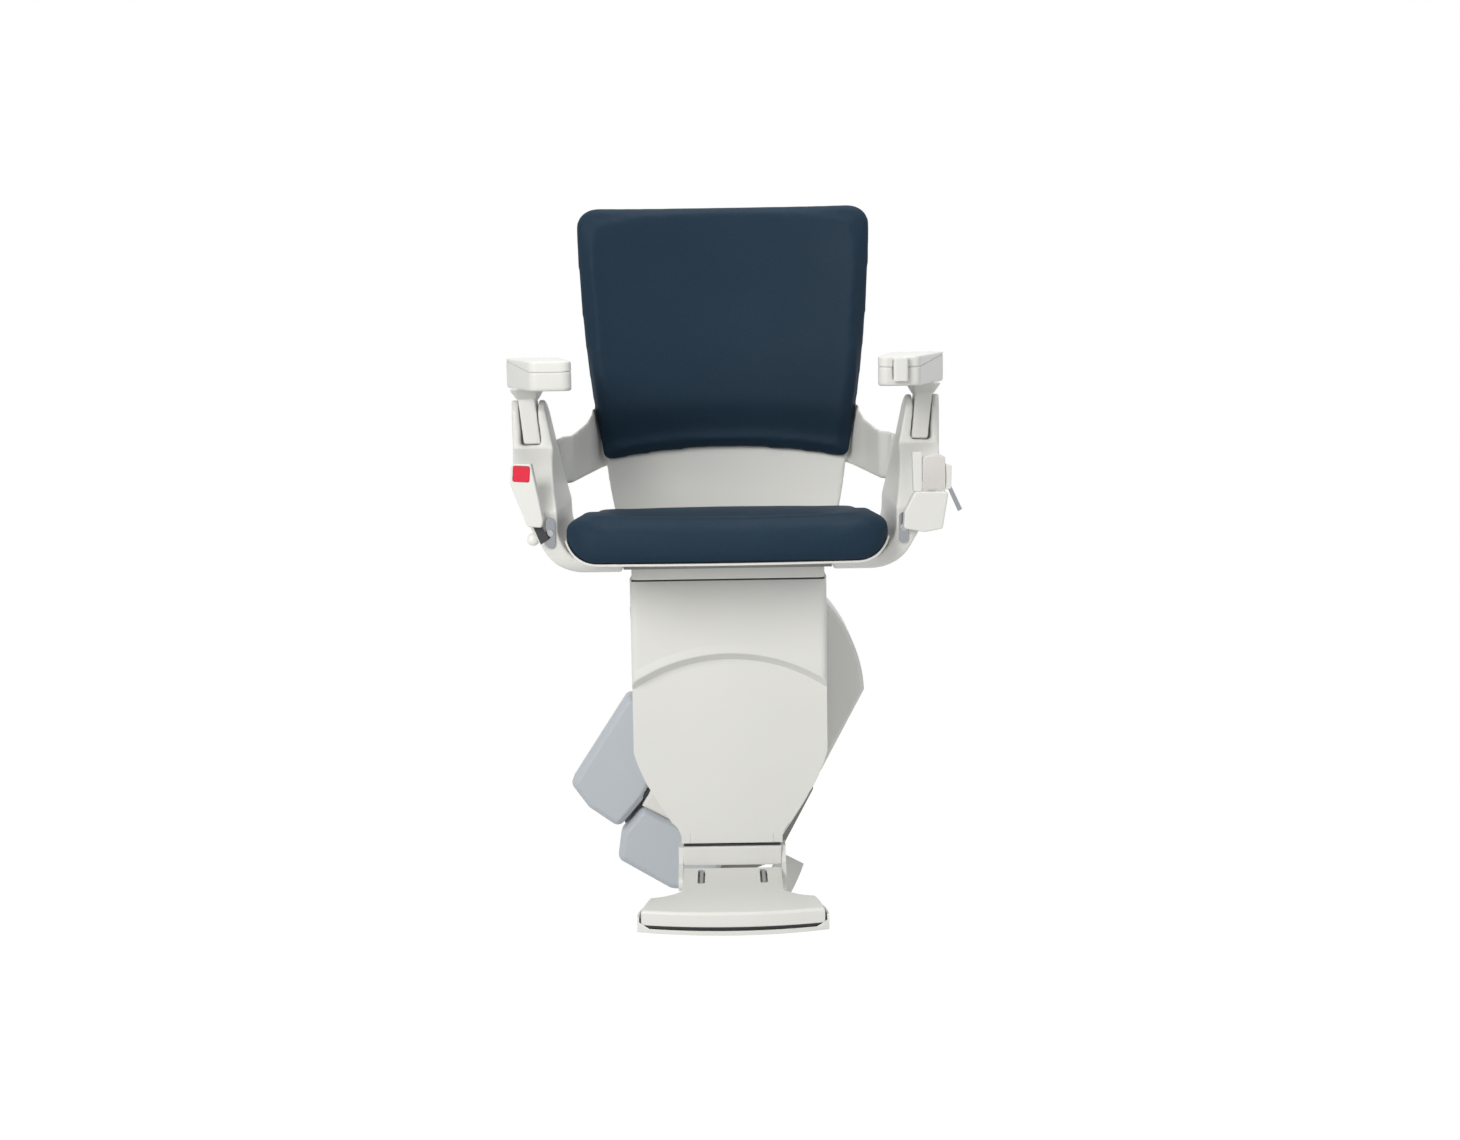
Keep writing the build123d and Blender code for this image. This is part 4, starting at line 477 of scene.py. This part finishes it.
def seatPlace(loop):
    # x draws in towards the back, y runs from the bowed front edge to the straight back edge
    p, q = loop[..., 0], loop[..., 1]
    share = (q + 1) / 2
    drawnIn = seatCushion["taper"] * np.clip(share, 0, 1) ** seatCushion["taperPower"]
    x = p * (seatHigh[0] + seatCushion["wider"] - drawnIn)
    front = seatLow[1] + seatCushion["bow"] - seatCushion["bow"] * (1 - p * p)
    y = front + (seatHigh[1] - 0.4 - front) * share
    return np.stack([x, y], -1)


def seatTop(spot):
    # crest at the front and rear height behind it, both higher at the sides by a square of x, blended along y,
    # a bell-shaped rise near each side, and a dish of sin squared between crest and rear
    x, y = np.abs(spot[..., 0]), spot[..., 1]
    share = (y - seatLow[1]) / (seatHigh[1] - seatLow[1])
    across = (x / 200) ** 2
    crest = seatCushion["crestMiddle"] + (seatCushion["crestSide"] - seatCushion["crestMiddle"]) * across
    behind = smoothStep(share, *seatCushion["behindCrest"])
    height = crest * (1 - behind) + (seatCushion["rear"] + seatCushion["rearSide"] * across) * behind
    middle, width = seatCushion["sideRiseAt"]
    height = height + seatCushion["sideRise"] * np.exp(-((x - middle) / width) ** 2)
    first, last = seatCushion["dishAlong"]
    inside = np.sin(np.pi * np.clip((share - first) / (last - first), 0, 1)) ** 2
    inside = inside * (1 - smoothStep(x, *seatCushion["dishSides"]))
    return height - seatCushion["dish"] * inside


def byDirection(loop, front, side, back):
    # an edge radius for each direction: front, sides or back, eased round the corners
    p, q = loop[:, 0], loop[:, 1]
    sideways = smoothStep(np.abs(p) - np.abs(q), -0.25, 0.25)
    return side * sideways + (1 - sideways) * np.where(q < 0, front, back)


cornerFront, cornerBack = seatCushion["cornersFrontBack"]
seatLoop = roundedLoop((cornerFront, cornerBack, cornerBack, cornerFront), 12, 40)
seatPlan, seatHeight = padRings(seatLoop, byDirection(seatLoop, *seatCushion["topRound"]),
                                byDirection(seatLoop, *seatCushion["lowRound"]), seatTop,
                                lambda spot: np.full(spot.shape[:-1], seatLow[2] + 0.3), seatPlace)
seatRings = np.concatenate([seatPlan, seatHeight[..., None]], -1) * mm
seatMesh = settled(closedSkin("seatCushionVinyl", seatRings, "navy_upholstery"),
                   lambda spot: smoothStep(spot[:, 2] - seatLow[2], *seatCushion["freeFrom"]), seatCushion)
upholstered("seatCushionVinyl", seatMesh, "seat_pan", "seat_cushion")

# Back cushion: hollow across, fuller at the small of the back, tucked in above the lip of its arched lower edge.
backCushion = {"origin": (0.0, 8.0, 455.0), "recline": 7.0, "bow": 900.0, "low": 80.0, "arch": 22.0, "high": 482.0,
               "crown": 5.0, "widths": ((80, 193.5), (262, 220.5), (482, 232.5)), "corners": (0.062, 0.15),
               "depth": 29.0, "lumbar": 8.0, "lumbarAt": (215.0, 95.0), "tuck": 13.0, "tuckFrom": (20.0, 78.0),
               "lip": 4.0, "lipAt": (11.0, 8.0), "ridge": 1.6, "ridgeAt": (0.9, 0.045),
               "topRound": (11.0, 22.0, 16.0), "lowRound": (8.0, 8.0, 8.0), "lift": 0.6, "freeFrom": (6.0, 24.0),
               "voxelMm": 5.0, "pressure": 4.0, "frames": 16, "capMm": 4.0}
widthCurve = np.polyfit(*np.array(backCushion["widths"], float).T, 2)


def backPlace(loop):
    # s climbs from the arched lower edge to the crowned top, and x follows the width at that height
    p, q = loop[..., 0], loop[..., 1]
    bottom = backCushion["low"] + backCushion["arch"] * (1 - p * p)
    s = bottom + (backCushion["high"] + backCushion["crown"] * (1 - p * p) - bottom) * (q + 1) / 2
    return np.stack([p * np.polyval(widthCurve, s), s], -1)


def backTop(spot):
    # depth over the shell: a bell-shaped lumbar swell, drawn in below it by a smooth step above the arched edge,
    # a narrow lip along that edge, and a soft ridge just inside each side
    x, s = spot[..., 0], spot[..., 1]
    side = np.abs(x) / np.polyval(widthCurve, s)
    above = s - backCushion["low"] - backCushion["arch"] * (1 - side * side)
    middle, width = backCushion["ridgeAt"]
    depth = backCushion["depth"] + backCushion["ridge"] * np.exp(-((side - middle) / width) ** 2)
    middle, width = backCushion["lumbarAt"]
    depth = depth + backCushion["lumbar"] * np.exp(-((s - middle) / width) ** 2)
    middle, width = backCushion["lipAt"]
    depth = depth + backCushion["lip"] * np.exp(-((above - middle) / width) ** 2)
    return depth - backCushion["tuck"] * (1 - smoothStep(above, *backCushion["tuckFrom"]))


cornerLow, cornerHigh = backCushion["corners"]
backLoop = roundedLoop((cornerLow, cornerHigh, cornerHigh, cornerLow), 12, 44)
backPlan, backLift = padRings(backLoop, byDirection(backLoop, *backCushion["topRound"]),
                              byDirection(backLoop, *backCushion["lowRound"]), backTop,
                              lambda spot: np.full(spot.shape[:-1], backCushion["lift"]), backPlace)
tilt = math.radians(backCushion["recline"])
hollow = backCushion["bow"] - np.sqrt(backCushion["bow"] ** 2 - backPlan[..., 0] ** 2)
backLift = backLift + hollow
backRings = np.stack([backPlan[..., 0],
                      backCushion["origin"][1] + backPlan[..., 1] * math.sin(tilt) - backLift * math.cos(tilt),
                      backCushion["origin"][2] + backPlan[..., 1] * math.cos(tilt) + backLift * math.sin(tilt)],
                     -1) * mm


def backHold(spot):
    # share of the swelling kept: none on the shell, all of it from 24 mm off the shell
    ahead = -(spot[:, 1] - backCushion["origin"][1]) * math.cos(tilt)
    lift = ahead + (spot[:, 2] - backCushion["origin"][2]) * math.sin(tilt)
    return smoothStep(lift - spot[:, 0] ** 2 / (2 * backCushion["bow"]), *backCushion["freeFrom"])


backMesh = settled(closedSkin("backCushionVinyl", backRings, "navy_upholstery"), backHold, backCushion)
upholstered("backCushionVinyl", backMesh, "seat", "back_cushion")
print("cushions made")


def hardPiece(name, rings, slot, body, stands=()):
    # a closed skin as a visible piece with crisp, slightly rounded edges
    piece = placed(name, closedSkin(name, np.array(rings, float) * mm, slot))
    bevel = piece.modifiers.new("edgeRound", "BEVEL")
    bevel.width = 0.4 * mm
    bevel.segments = 2
    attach(piece, body)
    if stands:
        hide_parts(*stands)
    return piece


def slabRings(low, high):
    # the four corners of a slab's top, then those of its bottom
    (lowX, lowY, lowZ), (highX, highY, highZ) = low, high
    square = [(lowX, lowY), (highX, lowY), (highX, highY), (lowX, highY)]
    return [[(x, y, z) for x, y in square] for z in (highZ, lowZ)]


# Small flat pieces of the column: a black strip of painted shade for the dark gap above the footrest's hinge bar,
# the sill that closes the notch for the frame, and the two foot ribs.
columnSlabs = {"hingeBarGapShade": ("black_plastic", (-72.5, -236.5, -27.8), (72.5, -226, -25.2)),
               "neckSill": ("beige_moulding", (-51, -235, -24), (51, -232, -19.8)),
               "footRibLeft": ("beige_moulding", (-64.5, -236, -23.8), (-62.9, -234, -8)),
               "footRibRight": ("beige_moulding", (60.9, -236, -23.8), (62.5, -234, -8))}
for name, (slot, low, high) in columnSlabs.items():
    hardPiece(name, slabRings(low, high), slot, "column")

# Trims carried across the column's front, each section given in mm as (offset from its line, depth from the face).
columnFront = {"half": 145.0, "face": -250.0, "corner": 10.0, "archEnd": 226.0, "archTop": 269.0, "stations": 97,
               "brow": [(17, 0.7), (10, -0.4), (5, -1.2), (1.5, -1.7), (-0.5, -1.4), (-1.6, -0.3), (-2.0, 2.0),
                        (-1, 3.2), (17, 3.2)],
               "gapShade": [(1.4, 2), (1.4, -0.5), (-1.4, -0.5), (-1.4, 2)], "gapShadeHeight": 378.3}


def frontFace(x):
    # the column's front in plan: flat, then a quarter circle of radius corner down to each side
    past = np.clip(np.abs(x) - columnFront["half"] + columnFront["corner"], 0, columnFront["corner"] - 0.1)
    return columnFront["face"] + columnFront["corner"] - np.sqrt(columnFront["corner"] ** 2 - past ** 2)


def acrossFront(rise, section):
    # rings from +x to -x, so that the faces point outwards: the line is an arc through its ends and rise above them in
    # the middle, and offsets follow its radius
    chord = columnFront["half"] - 0.2
    offset, depth = np.array(section, float).T
    radius = (chord ** 2 + rise ** 2) / (2 * rise) if rise else 1e5
    turn = np.linspace(-1, 1, columnFront["stations"])[:, None] * math.asin(chord / radius)
    x = np.clip((radius + offset) * np.sin(turn), -chord, chord)
    z = (radius + offset) * np.cos(turn) - radius * math.cos(math.asin(chord / radius))
    return np.stack([x, frontFace(x) + depth, z], -1)[::-1]


browRings = acrossFront(columnFront["archTop"] - columnFront["archEnd"], columnFront["brow"])
hardPiece("archBrow", browRings + [0, 0, columnFront["archEnd"]], "beige_moulding", "column")
# a black strip of painted shade for the dark gap between the swivel housing and the column's top
gapShadeRings = acrossFront(0, columnFront["gapShade"])
hardPiece("swivelGapShade", gapShadeRings + [0, 0, columnFront["gapShadeHeight"]], "black_plastic", "column")

# Footplate: a black strip of painted shadow under its front edge, along the plan of the plate from shoulder to
# shoulder.
plateShadowStrip = {"shoulder": (118.0, -386.0), "corner": (128.0, -446.0), "bulge": 2.0, "nose": 15.0, "proud": 0.4,
            "sunk": 0.8, "heights": (-78.6, -82.3), "flankSteps": 20, "noseSteps": 60}
along = np.linspace(0, 1, plateShadowStrip["flankSteps"])[:, None]
flank = np.array(plateShadowStrip["shoulder"]) * (1 - along) + np.array(plateShadowStrip["corner"]) * along
flank[:, 0] += 4 * plateShadowStrip["bulge"] * (along * (1 - along))[:, 0]
radius = (plateShadowStrip["corner"][0] ** 2 + plateShadowStrip["nose"] ** 2) / (2 * plateShadowStrip["nose"])
turn = np.linspace(1, -1, plateShadowStrip["noseSteps"])[1:-1] * math.asin(plateShadowStrip["corner"][0] / radius)
nose = np.stack([radius * np.sin(turn), plateShadowStrip["corner"][1] - plateShadowStrip["nose"] + radius * (1 - np.cos(turn))], 1)
plateLine = np.concatenate([flank, nose, flank[::-1] * [-1, 1]])
course = np.gradient(plateLine, axis=0)
outward = np.stack([-course[:, 1], course[:, 0]], 1) / np.linalg.norm(course, axis=1, keepdims=True)
upper, lower = plateShadowStrip["heights"]
shadowStripSection = ((plateShadowStrip["proud"], upper), (plateShadowStrip["proud"], lower), (-plateShadowStrip["sunk"], lower),
              (-plateShadowStrip["sunk"], upper))
shadowStripRings = [np.column_stack([plateLine + outward * offset, np.full(len(plateLine), height)])
            for offset, height in shadowStripSection]
hardPiece("footplateGapShadow", np.stack(shadowStripRings, 1), "black_plastic", "footrest")

# Buckle stalk: a leaning strip of coated steel from behind the chrome link up into the buckle.
stalk = {"outline": [(-250, 453), (-262, 446), (-276.5, 482), (-267.5, 484)], "front": -355.0, "back": -352.0}
hardPiece("buckleStalkStrip", [[(x, stalk[side], z) for x, z in stalk["outline"]] for side in ("back", "front")],
          "black_metal", "seat", ["buckle_stalk"])

# Belt webbing: up behind the guide, over the top in a half circle, down in front and into the tongue's grip.
strap = {"left": 273.5, "right": 305.5, "thick": 1.7, "middle": -356.3, "radius": 6.0, "crest": 559.5, "foot": 517.0,
         "rear": 531.0, "belly": 2.2, "droop": 5.0, "across": 13, "rearSteps": 6, "turnSteps": 15, "frontSteps": 12}
turn = np.radians(np.linspace(0, 180, strap["turnSteps"]))
descent = np.linspace(0, 1, strap["frontSteps"])[1:]
pathY = np.concatenate([np.full(strap["rearSteps"], strap["radius"]), strap["radius"] * np.cos(turn)[1:],
                        -strap["radius"] - strap["belly"] * np.sin(np.pi * descent)])
pathZ = np.concatenate([np.linspace(strap["rear"], strap["crest"], strap["rearSteps"]),
                        strap["crest"] + strap["radius"] * np.sin(turn)[1:],
                        strap["crest"] + (strap["foot"] - strap["crest"]) * descent])
along = np.gradient(np.stack([pathY, pathZ], 1), axis=0)
along /= np.linalg.norm(along, axis=1, keepdims=True)
inward = np.stack([-along[:, 1], along[:, 0]], 1) * strap["thick"]
outer = np.stack([pathY + strap["middle"], pathZ], 1)
width = np.linspace(strap["left"], strap["right"], strap["across"])
droop = strap["droop"] * np.linspace(-1, 1, strap["across"]) ** 2
sides = []
for side, order in ((outer, slice(None)), (outer + inward, slice(None, None, -1))):
    y, z = side.T[..., None]
    sides.append(np.stack([width[order] + 0 * y, y + 0 * width, z - droop[order]], -1))
strapRings = np.concatenate(sides, 1)
hardPiece("beltStrap", strapRings, "belt_web", "seat", ["belt_webbing"])
print("seals, stalk and strap made")

# Camera, light and stage. The camera stands where the photograph was taken from, focal length in the photo's pixels.
camera = {"place": (0.0032, -2.82, 0.72), "pitch": 7.265, "roll": -0.9, "focalPixels": 1765.0, "imageWidth": 1460.0}
cameraData = bpy.data.cameras.new("photoCamera")
cameraData.sensor_fit = "HORIZONTAL"
cameraData.sensor_width = 36.0
cameraData.lens = camera["focalPixels"] * cameraData.sensor_width / camera["imageWidth"]
cameraObject = placed("photoCamera", cameraData)
cameraObject.matrix_world = (Matrix.Translation(camera["place"])
                             @ Matrix.Rotation(math.radians(90 - camera["pitch"]), 4, "X")
                             @ Matrix.Rotation(math.radians(camera["roll"]), 4, "Z"))
bpy.context.scene.camera = cameraObject

lamps = {
    "keyPanel": {"place": (-1.6, -2.9, 1.9), "target": (0, -0.15, 0.35), "size": 1.8, "power": 74.0,
                 "colour": "fffdfb"},
    "fillPanel": {"place": (2.4, -2.0, 1.2), "target": (0, -0.15, 0.35), "size": 2.2, "power": 11.0,
                  "colour": "fbfcff"},
    "topPanel": {"place": (0.3, -0.1, 3.0), "target": (0, -0.1, 0.4), "size": 1.6, "power": 31.0,
                 "colour": "ffffff"}}
for name, lamp in lamps.items():
    lampData = bpy.data.lights.new(name, "AREA")
    lampData.shape = "DISK"
    lampData.size = lamp["size"]
    lampData.energy = lamp["power"]
    lampData.color = linearColour(lamp["colour"])[:3]
    lampObject = placed(name, lampData)
    aim = Matrix.Translation(lamp["target"]).translation - Matrix.Translation(lamp["place"]).translation
    lampObject.matrix_world = Matrix.Translation(lamp["place"]) @ aim.to_track_quat("-Z", "Y").to_matrix().to_4x4()

world = bpy.data.worlds.new("paleStudio")
bpy.context.scene.world = world
world.use_nodes = True
worldTree = world.node_tree
worldTree.nodes.clear()
path = addNode(worldTree, "ShaderNodeLightPath")
mirrored = addNode(worldTree, "ShaderNodeMath", {"operation": "MAXIMUM"},
                   {0: path.outputs["Is Glossy Ray"], 1: path.outputs["Is Transmission Ray"]})
seen = addNode(worldTree, "ShaderNodeMath", {"operation": "MAXIMUM"},
               {0: path.outputs["Is Camera Ray"], 1: mirrored.outputs[0]})
glow = addNode(worldTree, "ShaderNodeBackground", {"Color": linearColour("f4f5f6"), "Strength": 0.4})
backdrop = addNode(worldTree, "ShaderNodeBackground", {"Color": linearColour("ffffff"), "Strength": 1.0})
blend = addNode(worldTree, "ShaderNodeMixShader", None,
                {0: seen.outputs[0], 1: glow.outputs[0], 2: backdrop.outputs[0]})
addNode(worldTree, "ShaderNodeOutputWorld", None, {0: blend.outputs[0]})

floorSettings = {"drop": 0.12, "half": 14.0, "white": 0.86, "glow": 1.11}
floorZ = cadLow[2] - floorSettings["drop"]
half = floorSettings["half"]
floorMesh = bpy.data.meshes.new("paleFloor")
floorMesh.from_pydata([(-half, -half, floorZ), (half, -half, floorZ), (half, half, floorZ), (-half, half, floorZ)],
                      [], [(0, 1, 2, 3)])
floorObject = placed("paleFloor", floorMesh)
floorMaterial, floorTree, floorShader = newMaterial("paleFloor", {"Base Color": linearColour("dedede"),
                                                                   "Roughness": 0.9})
floorPath = addNode(floorTree, "ShaderNodeLightPath")
floorMirrored = addNode(floorTree, "ShaderNodeMath", {"operation": "MAXIMUM"},
                        {0: floorPath.outputs["Is Camera Ray"], 1: floorPath.outputs["Is Glossy Ray"]})
floorSeen = addNode(floorTree, "ShaderNodeMath", {"operation": "MULTIPLY", 1: floorSettings["white"]},
                    {0: floorMirrored.outputs[0]})
floorGlow = addNode(floorTree, "ShaderNodeEmission", {"Color": linearColour("ffffff"),
                                                      "Strength": floorSettings["glow"]})
floorBlend = addNode(floorTree, "ShaderNodeMixShader", None,
                     {0: floorSeen.outputs[0], 1: floorShader.outputs[0], 2: floorGlow.outputs[0]})
floorTree.links.new(floorBlend.outputs[0], floorTree.nodes["Material Output"].inputs["Surface"])
floorMesh.materials.append(floorMaterial)
bpy.context.scene.view_settings.view_transform = "Standard"
print("camera, lamps and floor set")
